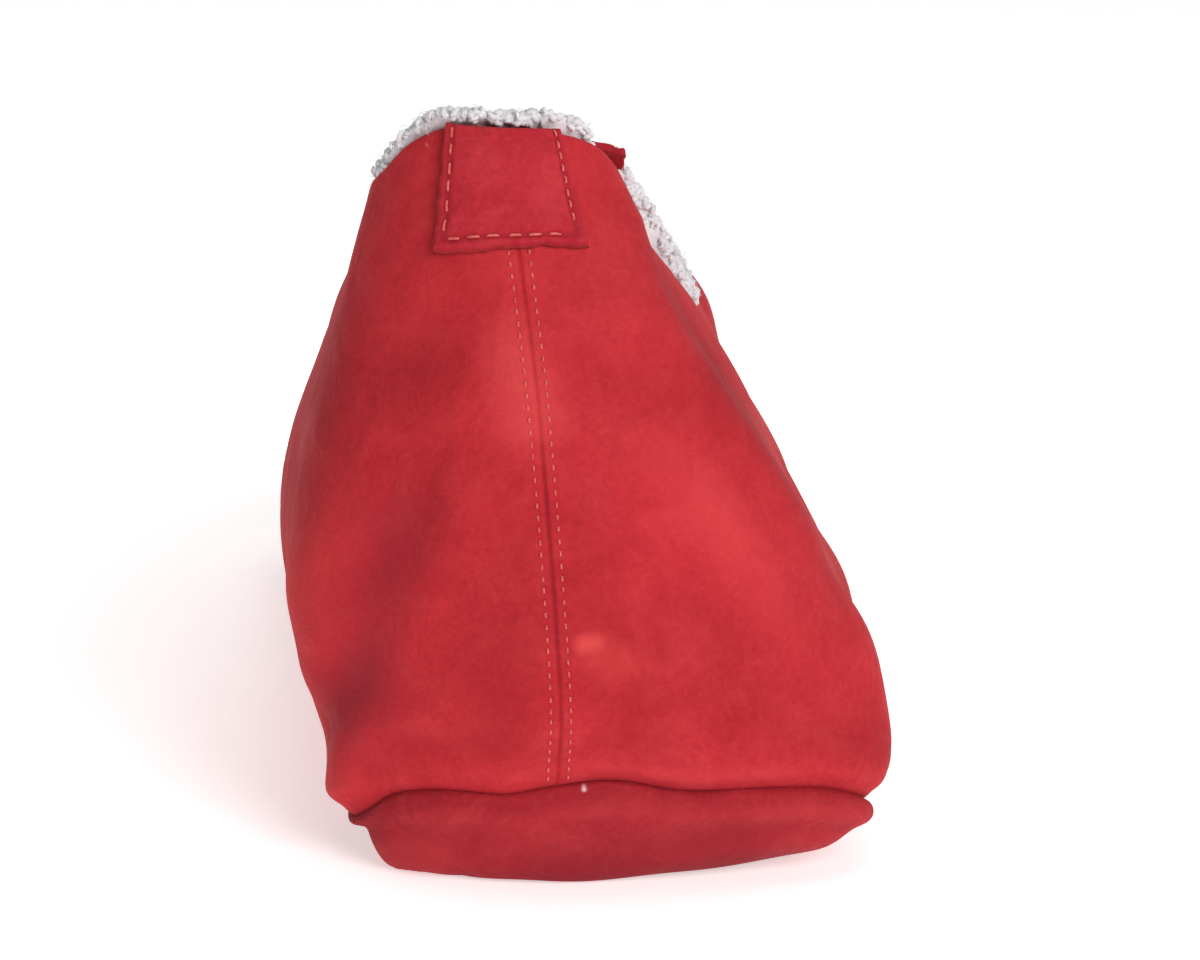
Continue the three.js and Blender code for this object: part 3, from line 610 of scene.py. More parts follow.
def nubuck(name, dark, body, light, nap=1.0, marks=()):
    """Nubuck or suede from three reds; marks are (start, end, width, colour, strength)."""
    made, tree, out = material(name)
    position = node(tree, "ShaderNodeTexCoord").outputs["Object"]
    # noise in three sizes of millimetres: broad fading, patches where the nap lies one way, tufts
    broad, patch, pile = [
        node(tree, "ShaderNodeTexNoise", {"Scale": 1000 / size, "Detail": detail, "Roughness": rough,
             "Distortion": warp}, {"Vector": position}).outputs[0]
        for size, detail, rough, warp in ((34, 2.0, 0.5, 0.4), (9, 3.0, 0.6, 0.8), (1.1, 3.0, 0.65, 0.0))]
    # The fold attribute holds painted light: shade where it is below zero, highlight where above.
    fold = node(tree, "ShaderNodeAttribute", {"attribute_name": "fold"}).outputs["Fac"]
    colour = body
    for tint, pattern, low, high, most in (
            (dark, broad, 0.42, 0.72, 0.3),
            (light, patch, 0.5, 0.78, 0.3), (dark, patch, 0.5, 0.25, 0.2),
            (light, pile, 0.5, 0.8, 0.24 * nap), (dark, pile, 0.5, 0.2, 0.24 * nap),
            (dark, fold, 0.0, -1.0, 0.62), (light, fold, 0.1, 1.0, 0.45)):
        colour = tinted(tree, colour, tint, pattern, low, high, most)
    for start, end, width, tint, strength in marks:
        soft = mark(tree, position, start, end, width)
        patchy_wear_and_shading = node(tree, "ShaderNodeMapRange", {"From Min": 0.25, "From Max": 0.6,
                    "To Min": 0.65 * strength, "To Max": strength}, {"Value": patch})
        uneven = node(tree, "ShaderNodeMath", {"operation": "MULTIPLY"},
                      {0: soft.outputs[0], 1: patchy_wear_and_shading.outputs[0]})
        colour = tinted(tree, colour, tint, uneven.outputs[0], 0.0, 1.0, 1.0)
    # pale specks of lint and dust, a few to the square centimetre: the middles of some cells
    lint = node(tree, "ShaderNodeTexVoronoi", {"Scale": 1000 / 7.0, "Randomness": 1.0},
                {"Vector": position})
    speck = node(tree, "ShaderNodeMapRange", {"From Min": 0.045, "From Max": 0.02, "To Max": 0.4},
                 {"Value": lint.outputs["Distance"]})
    chance = node(tree, "ShaderNodeSeparateColor", None, {"Color": lint.outputs["Color"]})
    rare = node(tree, "ShaderNodeMapRange", {"From Min": 0.86, "From Max": 0.9},
                {"Value": chance.outputs[0]})
    both = node(tree, "ShaderNodeMath", {"operation": "MULTIPLY"},
                {0: speck.outputs[0], 1: rare.outputs[0]})
    colour = tinted(tree, colour, "#E79A93", both.outputs[0], 0.0, 1.0, 1.0)
    rough = node(tree, "ShaderNodeMapRange", {"From Min": 0.3, "From Max": 0.75,
                 "To Min": 0.92, "To Max": 0.74}, {"Value": patch})
    fine = node(tree, "ShaderNodeTexVoronoi", {"Scale": 1000 / 0.55, "feature": "SMOOTH_F1"},
                {"Vector": position}).outputs["Distance"]
    pores = node(tree, "ShaderNodeBump", {"Strength": 0.16 * nap, "Distance": 0.00025}, {"Height": fine})
    tufts = node(tree, "ShaderNodeBump", {"Strength": 0.34 * nap, "Distance": 0.0005},
                 {"Height": pile, "Normal": pores.outputs[0]})
    soft = node(tree, "ShaderNodeBump", {"Strength": 0.3, "Distance": 0.0016},
                {"Height": patch, "Normal": tufts.outputs[0]})
    skin = node(tree, "ShaderNodeBsdfPrincipled", {
        "IOR": 1.45, "Specular IOR Level": 0.2, "Sheen Weight": 0.12 * nap, "Sheen Roughness": 0.4,
        "Sheen Tint": linear("#F08080")},
        {"Base Color": colour, "Roughness": rough.outputs[0], "Normal": soft.outputs[0]})
    tree.links.new(skin.outputs[0], out.inputs[0])
    return made


UPPER_WEAR_AND_PAINTED_LIGHT = [
    # the rubbed smudge by the back seam, its heart and its spread
    ((-3.6, -129.2, 40.3), (-1.8, -129.4, 40.6), 2.4, "#E4524E", 0.75),
    ((-1.5, -129.0, 38.5), (2.0, -129.0, 37.0), 5.0, "#D8443F", 0.5),
    # the scratch beside the tab
    ((-27.4, -101.7, 108.8), (-26.3, -103.0, 107.7), 0.42, "#E59A92", 0.9),
    # painted shade low on the outer side, where the leather slumps away from the light
    ((-36.0, -112.0, 24.0), (-30.0, -117.0, 52.0), 13.0, "#9E2432", 0.65),
    ((-40.0, -103.0, 30.0), (-30.0, -116.0, 27.0), 10.0, "#9A2230", 0.5),
    # painted highlight below the tab, on the outer side of the seam
    ((-16.0, -122.0, 84.0), (-12.0, -124.0, 72.0), 8.0, "#DC4A4A", 0.6),
]
nubuck_upper = nubuck("nubuck_red_upper", NUBUCK_DARK, NUBUCK, NUBUCK_LIGHT, 1.0, UPPER_WEAR_AND_PAINTED_LIGHT)
# Painted shade in the folds' troughs, strongest toward the heel, and painted highlight on swells.
heelward = 0.35 + 0.65 * (1 - smooth((LAST[..., 1] + 105) / 50))
shade = np.clip(folds * 0.5 * heelward + np.minimum(relief - folds, 0.5), -1, 1) * calm
# A painted shadow under the sewn edge at the bottom, and a dark line along the back seam.
shade += -0.6 * hill(to_back, 0, 0.3) - 0.9 * hill(from_seam, 0, 1.0)
upper = welded("upper_leather", [(OUTSIDE, True, True), (INSIDE, False, True)], nubuck_upper,
               {"fold": [shade, np.zeros(INSIDE.shape[:2])]})
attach(upper, "root")
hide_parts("upper")

# The sole: one piece of thicker nubuck calf, moulded up round the foot and sewn to the upper edge to
# edge with a turned seam, so that both edges puff out beside it. At the toe it is eased in small
# gathers, and underneath it is flat and rubbed.

SOLE_LEATHER = 2.6
MIDDLE_SHARE, MIDDLE_TURN, MIDDLE_ACROSS, ARCH = 0.8, 0.039, 2.4, 65.0


def sole_point(t, w):
    """The sole at rib place t and row place w: a cubic from the seam (0) inward and down to the
    ground (1), then straight to the middle line (2)."""
    t, w = np.broadcast_arrays(np.asarray(t, float), np.asarray(w, float))
    seam, ground = seam_line(t), through(GROUND, t, True)
    ground[..., 2] = np.maximum(ground[..., 2], 0)
    middle = (ground + through(GROUND, COUNT - t, True)) / 2
    middle[..., 2] = np.where(np.abs(middle[..., 1]) < ARCH, np.maximum(middle[..., 2], 0), 0)
    middle[..., 1] *= MIDDLE_SHARE
    middle[..., 0] = MIDDLE_ACROSS + MIDDLE_TURN * middle[..., 1]
    away = level(seam - ground)
    leave = .75 * away
    leave[..., 2] = .9 * (ground[..., 2] - seam[..., 2])
    edge = cubic(seam, ground, leave, -1.7 * away, np.clip(w, 0, 1)[..., None])
    flat = ground + (middle - ground) * np.clip(w - 1, 0, 1)[..., None]
    return np.where((w <= 1)[..., None], edge, flat)


def one_way(grid):
    """A sole grid whose last row, the middle line, runs one way from heel to toe on both sides, by a
    hundredth of a millimetre or more a column."""
    step = 0.01 * np.arange(len(half))
    ahead = np.maximum.accumulate(grid[:len(half), -1, 1] - step) + step
    grid[:, -1, 1] = np.concatenate([ahead, ahead[-2:0:-1]])
    grid[:, -1, 0] = MIDDLE_ACROSS + MIDDLE_TURN * grid[:, -1, 1]
    return grid


EVERYWHERE = np.ones(len(T), bool)
W = spread(0, 2, 86, lambda w: np.clip(0.009 + 0.12 * w, 0.009, 0.032))
SHELL = one_way(sole_point(T[:, None], W[None]))
SHELL_OUT = outward(SHELL, EVERYWHERE, -1)
below_seam = run_along(SHELL)
seam_run = np.cumsum(np.linalg.norm(SHELL[:, 0] - np.roll(SHELL[:, 0], 1, 0), axis=1))
SOLE_FOLDS = [
    ([(1.3, .25), (.8, .3), (.3, .42)], 2.6, .35),
    ([(-.2, .45), (-.7, .34), (-1.2, .4)], 2.8, .4),
    ([(-1.6, .3), (-2.4, .45), (-3.0, .4)], 3.0, .4),
    ([(2.0, .4), (2.9, .35), (3.6, .5)], 3.0, .4),
    ([(1.3, .62), (.9, .6), (.5, .66)], 6.5, -1.8),
    ([(2.0, .12), (1.5, .08), (1.15, .08), (.85, .16)], 5.0, 2.1),  # tucked under the outer corner
    ([(2.0, .4), (1.45, .38), (.9, .42)], 4.5, 1.8),
    ([(-2.0, .14), (-1.5, .12), (-1.0, .16)], 5.0, 1.2),  # and less under the inner one
]
sole_folds = fold_relief(SHELL, SOLE_FOLDS, sole_point)
gathers = smooth((np.abs(SIDE) - 6.9) / 1.2)[:, None] * np.exp(-below_seam / 8)
gathers = gathers * (0.55 * np.abs(np.sin(np.pi * seam_run / 6.2))[:, None] - 0.3)
sole_lip = 0.8 * (1 + 0.3 * waves(SHELL, 23, 12, 6, 14)) * hill(below_seam, 3.3, 2.4)
sole_lip *= 1 - 0.9 * hill(SIDE, 1.35, 0.45)[:, None]  # flat at the tucked corner
uneven = sole_folds + 0.18 * waves(SHELL, 21, 16, 16, 40)
sole_relief = sole_lip + gathers + smooth(below_seam / 5) * uneven
shared_end(sole_relief, EVERYWHERE)
SOLE_OUTSIDE = turned_in(SHELL + SHELL_OUT * sole_relief[..., None], SHELL_OUT, below_seam, SEAM_PRESS)
SOLE_OUTSIDE[..., 2] = np.maximum(SOLE_OUTSIDE[..., 2], 0)
SOLE_OUTSIDE[:, -1, :2] = SHELL[:, -1, :2]
sole_rows = np.concatenate([edge_rows, np.linspace(0.15, 2.0, 14)])
sole_base = one_way(sole_point(T[:, None], sole_rows[None]))
sole_depth = SOLE_LEATHER * (1 - rounding(run_along(sole_base)) / LEATHER)
SOLE_INSIDE = sole_base - outward(sole_base, EVERYWHERE, -1) * sole_depth[..., None]
SOLE_INSIDE[:, 0] = SOLE_OUTSIDE[:, 0]
SOLE_INSIDE[:, -1] = sole_base[:, -1] + np.array([0, 0, SOLE_LEATHER])

# The sole's nubuck is the upper's in darker reds, painted shade for the low sole, with grime where
# the foot's weight is.
SOLE_MARKS = [
    ((-2.5, -123.0, 17.7), (-2.4, -123.4, 16.7), 0.6, "#FBE9E4", 0.9),  # white speck at the seam
    ((-20.0, -104.0, 0.5), (16.0, -106.0, 0.5), 24.0, "#6E1420", 0.55),  # grime under the heel
    ((-25.0, 70.0, 0.0), (28.0, 72.0, 0.0), 34.0, "#6E1420", 0.5),  # and under the ball
]
nubuck_sole = nubuck("nubuck_red_sole", "#7C1423", "#B02731", "#CC3F43", 1.0, SOLE_MARKS)
# Painted light: shade in the folds and toward the bottom, a highlight on the band below the seam.
sole_shade = np.clip(sole_folds, -1, 1) - 0.6 * hill(below_seam, 0, 0.5)
sole_shade += 0.4 * hill(below_seam, 3.6, 2.2) - 0.8 * smooth((below_seam - 6) / 13)
sole = welded("sole_leather", [(SOLE_OUTSIDE, False, True), (SOLE_INSIDE, True, True)], nubuck_sole,
              {"fold": [sole_shade, np.zeros(SOLE_INSIDE.shape[:2])]})
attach(sole, "root")
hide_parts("sole")

# The lining: a sleeve of sheared, curly wool on a thin knitted back, 7 mm deep, inside the whole
# upper. It stands a little above the collar, where the curls roll over the edge.

FLEECE = 7.0
FOOTBED_TOP = 11.3
PILE_ROWS = 84
# The wool's grids use every second column of the leather's.
t2, side2, ridge2, mouth2, all2 = [x[::2] for x in (T, SIDE, ON_RIDGE, rim_columns, EVERYWHERE)]

# Normals evened over the coarse grid, so that the deep wool doesn't fold where the last bends.
coarse_ridge = np.abs(side_of(coarse_t)) >= THROAT
coarse_mirror = opposite(len(coarse_t))
even = outward(coarse_grid, coarse_ridge)
even[:, 0] = unit(level(even[:, 0]))
for _ in range(4):
    total = even + np.roll(even, 1, 0) + np.roll(even, -1, 0)
    total[:, 1:] += even[:, :-1]
    total[:, :-1] += even[:, 1:]
    total[coarse_ridge, -1] += even[coarse_mirror, -2][coarse_ridge]
    even = unit(total)
shared = unit(even[:, -1] + even[coarse_mirror, -1])
even[:, -1] = np.where(coarse_ridge[:, None], shared, even[:, -1])


def even_normal(t, v):
    """Bilinear reading of the evened normals at rib places t and row places v of equal shape."""
    i, k = np.floor(t * 4).astype(int), np.clip(np.floor(v * 3).astype(int), 0, 8)
    a, b = (t * 4 - i)[..., None], (v * 3 - k)[..., None]
    n = len(coarse_t)
    return unit(between(even, i % n, (i + 1) % n, k, a, b))


def from_height(column, height, count):
    """Where so many even rows lie along a column from the place that it first passes a height to its
    end, and where its own points lie."""
    far = run_along(column)
    passed = column[:, 2] > height if column[0, 2] < height else column[:, 2] < height
    first = int(np.argmax(passed))
    before, after = column[first - 1, 2], column[first, 2]
    begin = far[first - 1] + (height - before) / (after - before) * (far[first] - far[first - 1])
    return begin + (far[-1] - begin) * np.linspace(0, 1, count), far


# The sleeve starts on the footbed: down the inside of the sole's edge where that stands higher.
cup_w, wall_v = np.linspace(1, 0.04, 12), np.linspace(0, 3, 60)
cup = sole_point(t2[:, None], cup_w[None])
cup = cup - outward(cup, all2) * (SOLE_LEATHER + GAP)
wall = upper_point(t2[:, None], wall_v[None])
# Where a fold presses the leather in, the wool behind it gives way.
wall_calm = smooth(np.minimum(run_along(wall), nearest(wall, mouth_edge, MOUTH_REACH)[0]) / CALM)
pressed = np.minimum(wall_calm * (fold_relief(wall, FOLDS, upper_point) + slack(wall)), 0)
shared_end(pressed, ridge2)
wall = wall + outward(wall, ridge2) * (pressed - LEATHER - GAP)[..., None]
grid_t, grid_v = np.broadcast_arrays(t2[:, None], wall_v[None])
wall_even = even_normal(grid_t, grid_v)
path = np.concatenate([cup, wall], 1)
path_even = np.concatenate([np.repeat(unit(level(wall_even[:, :1])), len(cup_w), 1), wall_even], 1)
BACKING, BACKING_OUT = [], []
for column, normal in zip(path, path_even):  # each column begins just above the footbed
    rows, far = from_height(column, FOOTBED_TOP + GAP, PILE_ROWS)
    BACKING.append(at_length(rows, far, column))
    BACKING_OUT.append(unit(at_length(rows, far, normal)))
BACKING, BACKING_OUT = np.array(BACKING), np.array(BACKING_OUT)
PILE = BACKING - BACKING_OUT * FLEECE


def lumps(points, seed):
    """Curly wool in relief, in millimetres: rounded tufts a few millimetres across."""
    return 0.6 * np.abs(waves(points, seed, 20, 5, 9)) + 0.25 * waves(points, seed + 1, 20, 2.4, 4.5) - 0.3


relief_in = lumps(PILE, 31) * smooth(np.arange(PILE_ROWS) / 5)[None]
shared_end(relief_in, ridge2)
PILE = PILE - BACKING_OUT * relief_in[..., None]
PILE[:, 0, 2] = BACKING[:, 0, 2]
# Over the edge the curls spring up and out: half rounds from the backing to the face of the pile,
# square to the edge, that rise by one height and puff out past the leather by another along the rim.
# Both are given at rib places, the second from EVEN_PUFF up.
EVEN_PUFF = 3.2
RISE = np.array([
    (-5, 1.6), (-4, 2.2), (-3, 2.6), (-2, 3.2), (-1.5, 3.6), (-1.25, 3.2), (-1.1, .6), (-.85, .4), (-.65, 2.0),
    (-.4, 2.8), (-.1, 1.4), (.2, 1.4), (.45, 2.6), (.8, 2.2), (1.2, 1.2), (3, 1.0), (4, 2.0), (5, 1.6)])
PUFF = np.array([
    (-5, .2), (-4, .4), (-3, .4), (-2.4, 1.2), (-1.6, 3.0), (-1.25, 2.8), (-1.1, -2.0), (-.85, -2.4), (-.6, .2),
    (-.3, 1.5), (.35, 1.5), (.7, 0), (1, -.2), (1.4, -1.2), (3, -1.2), (4, 0), (5, .2)])
order = np.argsort(side2[mouth2])
rim = side2[mouth2][order]
top_out, top_in = BACKING[mouth2][order, -1], PILE[mouth2][order, -1]
rim_out = BACKING_OUT[mouth2][order, -1]
rim_up = unit(np.cross(np.gradient(top_out, axis=0), rim_out))
rim_up *= np.sign(rim_up[:, 2])[:, None]
crown2 = smooth(np.abs(rim) - THROAT + 1)[:, None]
rim_up = unit(rim_up * (1 - crown2) + np.array([0, -0.8, 0.6]) * crown2)
bend = np.linspace(0, np.pi, 19)[None, :, None]
core = (top_out + top_in)[:, None] / 2
height = np.interp(rim, RISE[:, 0], RISE[:, 1])[:, None, None] * np.sin(bend) ** 0.8
puff = (EVEN_PUFF + np.interp(rim, PUFF[:, 0], PUFF[:, 1]))[:, None, None]
puff = puff * np.where(bend < np.pi / 2, np.abs(np.sin(2 * bend)), 0) ** 0.8
ROLL = (core + (top_out[:, None] - core) * np.cos(bend)
        + rim_up[:, None] * height + rim_out[:, None] * puff)
roll_out = unit(np.cross(np.gradient(ROLL, axis=1), np.gradient(ROLL, axis=0)))
roll_out[[0, -1]] = unit(roll_out[0] + roll_out[-1])  # its two ends meet at the throat
ROLL = ROLL + roll_out * (lumps(ROLL, 35) * np.sin(bend[..., 0]) ** 0.7)[..., None]

# Wool: off-white fibre crimped into tight curls. It is rough and glows a little where light passes
# through the tips; the curl noise paints it paler on the curls and greyer deep between them, as
# painted highlight and shade.
wool, tree, out = material("wool_curly_white")
position = node(tree, "ShaderNodeTexCoord").outputs["Object"]
curl, fibre = [
    node(tree, "ShaderNodeTexNoise", {"Scale": 1000 / size, "Detail": detail, "Roughness": 0.6,
         "Distortion": warp}, {"Vector": position}).outputs[0]
    for size, detail, warp in ((3.4, 3.0, 1.4), (0.6, 2.0, 0.6))]
# Paler on the curls and greyer between them: painted highlight and painted shade.
wool_colour = tinted(tree, "#D9D5D9", "#ECE9EC", curl, 0.35, 0.62, 1.0)
wool_colour = tinted(tree, wool_colour, "#CFCACF", curl, 0.42, 0.25, 0.5)
wool_colour = tinted(tree, wool_colour, "#FFFFFF", fibre, 0.5, 0.75, 0.5)
strands = node(tree, "ShaderNodeBump", {"Strength": 0.5, "Distance": 0.0004}, {"Height": fibre})
crimp = node(tree, "ShaderNodeBump", {"Strength": 0.4, "Distance": 0.0012},
             {"Height": curl, "Normal": strands.outputs[0]})
pile_skin = node(tree, "ShaderNodeBsdfPrincipled", {
    "Roughness": 0.95, "Specular IOR Level": 0.12, "Sheen Weight": 0.6, "Sheen Roughness": 0.6},
    {"Base Color": wool_colour, "Normal": crimp.outputs[0]})
tree.links.new(pile_skin.outputs[0], out.inputs[0])

lining = welded("fleece_lining_sleeve", [
    (BACKING, True, True), (PILE, False, True), (ROLL, True, False),
    (np.stack([PILE[:, 0], BACKING[:, 0]], 1), True, True)], wool)
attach(lining, "root")
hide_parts("fleece_lining")

# The footbed: the same wool on a soft insole board that fills the sole's cup, 8 mm deep, a little
# trodden at the heel and the ball.

ring = BACKING[:, 0] - BACKING_OUT[:, 0] * 0.2
ring[:, 2] = FOOTBED_TOP
heart = sole_point(t2, np.full(len(t2), 2.0))
heart[:, 2] = FOOTBED_TOP
share = np.linspace(0, 1, 40)[None, :, None]
BED = ring[:, None] * (1 - share) + heart[:, None] * share
trodden = np.zeros(BED.shape[:2])
# the heel's hollow and the ball's: middle across and along, reach across and along, depth
for x, y, wide, long, deep in ((1, -86, 22, 26, 1.2), (3, 62, 26, 30, 1.0)):
    trodden -= deep * np.exp(-(((BED[..., 0] - x) / wide) ** 2 + ((BED[..., 1] - y) / long) ** 2))
BED[..., 2] += (trodden + 0.8 * lumps(BED, 41) - 0.5) * smooth(share[..., 0] * 6)
shared_end(BED, all2)
under = sole_point(t2[:, None], np.linspace(0.06, 2, 24)[None])
under = under - outward(under, all2, -1) * (SOLE_LEATHER + GAP)
shared_end(under, all2)
# Down the lower half of the wall and on along the sole, from the height of the footbed's face.
BOTTOM = []
for column in np.concatenate([wall[:, 29::-1], under], 1):
    rows, far = from_height(column, FOOTBED_TOP, 24)
    BOTTOM.append(at_length(rows, far, column))
BOTTOM = np.array(BOTTOM)
BED[:, 0] = BOTTOM[:, 0]
footbed = welded("footbed_fleece_pad", [(BED, True, True), (BOTTOM, False, True)], wool)
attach(footbed, "root")
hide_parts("footbed")

# The heel tab: a trapezoid of 1.5 mm suede over the top of the back seam, sewn down along both sides
# and the bottom and left loose at the top, with a rough cut edge.

SUEDE = 1.5
CHANNEL, STITCH_INSET = 1.6, 1.65  # from the tab's edge: the stitches' channel and their middles
HEEL_TAB_SIZE, THROAT_TAB_SIZE = (20.5, 17.5), (24.0, 26.0)  # across and down


AT_ONCE, NEIGHBOURS = 200, 6


def laid_on(flat, look, samples, normals):
    """Points given by two coordinates brought onto a surface of sample points: the coordinate
    numbered look, and the normal, are read from the tangent planes of the six nearest samples."""
    keep = [k for k in range(3) if k != look]
    wanted = flat.reshape(-1, 2)
    found, out = np.zeros((len(wanted), 3)), np.zeros((len(wanted), 3))
    for start in range(0, len(wanted), AT_ONCE):
        some = slice(start, start + AT_ONCE)
        part = wanted[some]
        away = ((part[:, None] - samples[None, :, keep]) ** 2).sum(-1)
        near = np.argpartition(away, NEIGHBOURS, axis=1)[:, :NEIGHBOURS]
        weight = 1 / (np.take_along_axis(away, near, 1) + 0.05)
        weight /= weight.sum(1, keepdims=True)
        n, p = normals[near], samples[near]
        third = p[..., look] - ((part[:, None] - p[..., keep]) * n[..., keep]).sum(-1) / n[..., look]
        found[some, keep] = part
        found[some, look] = (third * weight).sum(1)
        out[some] = unit((n * weight[..., None]).sum(1))
    return [x.reshape(flat.shape[:-1] + (3,)) for x in (found, out)]


WANDER = 0.16  # how far a tab's cut outline strays


def tab_grid(corners, count, seed):
    """A four-cornered flat patch as a grid of pairs [across, down], its outline a little uneven.
    Corners are top start, top end, bottom start, bottom end."""
    a, b, c, d = [np.array(x, float) for x in corners]
    u, w = np.meshgrid(np.linspace(0, 1, count[0]), np.linspace(0, 1, count[1]), indexing="ij")
    u, w = u[..., None], w[..., None]
    flat = (a * (1 - u) + b * u) * (1 - w) + (c * (1 - u) + d * u) * w
    rim = np.minimum(np.minimum(u, 1 - u), 1 - w)[..., 0]
    near = np.exp(-rim * 14)
    flat3 = np.concatenate([flat, 0 * u], -1)
    for k in range(2):
        flat[..., k] += WANDER * near * waves(flat3, seed + k, 16, 1.6, 6)
    return flat, u[..., 0], w[..., 0]


def tab_mesh(name, base, out, u, w, look, size):
    """A tab as two skins that meet at its outline: the back one lies on the leather, the front one
    stands a suede's thickness above it, rounded off at the edges and drawn in along the stitches."""
    sides = np.minimum(u, 1 - u) * size[0]
    ends = np.minimum(w, 1 - w) * size[1]
    edge = np.minimum(sides, ends)
    thick = SUEDE * np.sqrt(np.clip(1 - (1 - np.clip(edge / 1.1, 0, 1)) ** 2, 0, 1))
    sewn = np.minimum(sides, size[1] - w * size[1])
    channel = hill(sewn, CHANNEL, 0.5)
    front = thick + 0.25 * smooth(edge / 5) - 0.4 * channel + 0.06 * waves(base, 51, 16, 2, 5)
    top = base + out * (GAP + np.where(edge > 0, front, 0))[..., None]
    back = base + out * GAP
    # Painted shade in the stitch channel and at the cut edge, a painted highlight over the middle.
    shade = 0.25 * smooth(edge / 4) - 0.9 * channel - 0.5 * (edge < 0.4)
    made = welded(name, [(top, look == 1, False), (back, look != 1, False)], suede_tabs,
                  {"fold": [shade, 0 * edge]})
    return made, top


# Suede: the flesh side of the same calf. Its longer nap makes it deeper in colour, duller and more
# mottled than the nubuck.
suede_tabs = nubuck("suede_crimson_tab", "#8A1728", "#BC2733", "#D2444C", 1.35)
heel_zone = (np.abs(SIDE) < 1.7)[:, None] & (V > 1.9)[None]
heel_samples = (LAST + LAST_OUT * (calm * (folds + hang) + 0.35)[..., None])[heel_zone]
heel_normals = LAST_OUT[heel_zone]
HEEL_TAB = [(-23.4, 112.2), (-6.9, 111.7), (-24.9, 94.0), (-2.9, 95.5)]  # corners, across and up
SAG, FLARE = 1.0, 0.4  # the lower edge hangs at its corners, which stand off a little
flat, u, w = tab_grid(HEEL_TAB, (56, 52), 61)
flat[..., 1] += SAG * np.sin(np.pi * u) * w ** 3
flat[..., 0] += FLARE * (smooth((u - .8) * 5) - smooth((.2 - u) * 5)) * smooth((w - .7) / .3)
base, heel_out = laid_on(flat, 1, heel_samples, heel_normals)
heel_tab, heel_top = tab_mesh("heel_tab_suede", base, heel_out, u, w, 1, HEEL_TAB_SIZE)
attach(heel_tab, "root")
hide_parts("heel_tab")

# The throat tab: the same suede over the top of the front seam; its upper edge stands free above
# the mouth, so that its corner shows behind the heel.

throat_zone = ((np.abs(SIDE) > 3.9) & (np.abs(SIDE) < 6.6))[:, None] & (V > 2.2)[None]
throat_samples = (LAST + LAST_OUT * relief[..., None])[throat_zone]
throat_normals = LAST_OUT[throat_zone]
THROAT_TAB = [(-12.5, -5.8), (11.3, -5.3), (-13.6, 23.4), (11.2, 23.6)]  # corners, across and along
flat, u, w = tab_grid(THROAT_TAB, (60, 70), 71)
edge_x = mouth_edge[np.argsort(mouth_edge[:, 0])]
edge_x = edge_x[edge_x[:, 1] > -40]
start_y = np.interp(flat[:, 0, 0], edge_x[:, 0], edge_x[:, 1]) - 1.6
flat[..., 1] = start_y[:, None] * (1 - w) + flat[:, -1:, 1] * w
base = laid_on(flat, 2, throat_samples, throat_normals)[0]
# The free end doesn't bend down with the mouth's edge: it stands off, most at its inner corner.
FREE_HEIGHT, LIFT, DIP, FREE_ALONG = 89.5, 4.2, 1.3, -1.5
free_height = FREE_HEIGHT + LIFT * smooth(u[:, 0] * 1.6) - DIP * smooth(u[:, 0] * 2.5 - 1.5)
free_end = np.stack([flat[:, 0, 0], np.full(len(flat), FREE_ALONG), free_height], 1)
lifted = smooth(1 - w / 0.5)[..., None]
base = base + lifted * (free_end[:, None] - base[:, :1])
throat_out = unit(np.cross(np.gradient(base, axis=0), np.gradient(base, axis=1)))
throat_out *= np.sign(throat_out[..., 2:])
throat_tab, throat_top = tab_mesh("throat_tab_suede", base, throat_out, u, w, 2, THROAT_TAB_SIZE)
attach(throat_tab, "root")
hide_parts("throat_tab")

# The stitching: waxed thread, paler than the leather, in long dashes round both tabs and in two
# fine rows beside the back and the front seam. Every stitch bows up between its two holes.

# Waxed thread: it shines a little where the rest is dull, and the noise that twists its plies
# paints them paler where they rise, a painted highlight.
thread, tree, out = material("thread_coral_waxed")
position = node(tree, "ShaderNodeTexCoord").outputs["Object"]
ply = node(tree, "ShaderNodeTexNoise", {"Scale": 1000 / 0.5, "Detail": 2.0, "Roughness": 0.5},
           {"Vector": position}).outputs[0]
# Paler where the ply noise rises: painted highlight.
thread_colour = tinted(tree, "#D2463F", "#EC6E62", ply, 0.35, 0.65, 1.0)
twist = node(tree, "ShaderNodeBump", {"Strength": 0.5, "Distance": 0.0001}, {"Height": ply})
thread_skin = node(tree, "ShaderNodeBsdfPrincipled", {"Roughness": 0.55, "Specular IOR Level": 0.4,
                   "Sheen Weight": 0.2}, {"Base Color": thread_colour, "Normal": twist.outputs[0]})
tree.links.new(thread_skin.outputs[0], out.inputs[0])


def tubes(lines, widths, first, second):
    """Closed four-sided tubes as one mesh: lines [n, rings, 3] with half widths [n, rings], whose
    corners lie along two directions [n, rings, 3]."""
    n, rings = lines.shape[:2]
    angle = np.pi / 2 * np.arange(4)
    ring = (first[:, :, None] * np.cos(angle)[:, None] + second[:, :, None] * np.sin(angle)[:, None])
    points = lines[:, :, None] + widths[:, :, None, None] * ring
    index = np.arange(n * rings * 4).reshape(n, rings, 4)
    after = np.roll(index, -1, 2)
    quads = np.stack([index[:, :-1], after[:, :-1], after[:, 1:], index[:, 1:]], -1).reshape(-1, 4)
    return points.reshape(-1, 3), np.concatenate([quads, index[:, 0, ::-1], index[:, -1]])


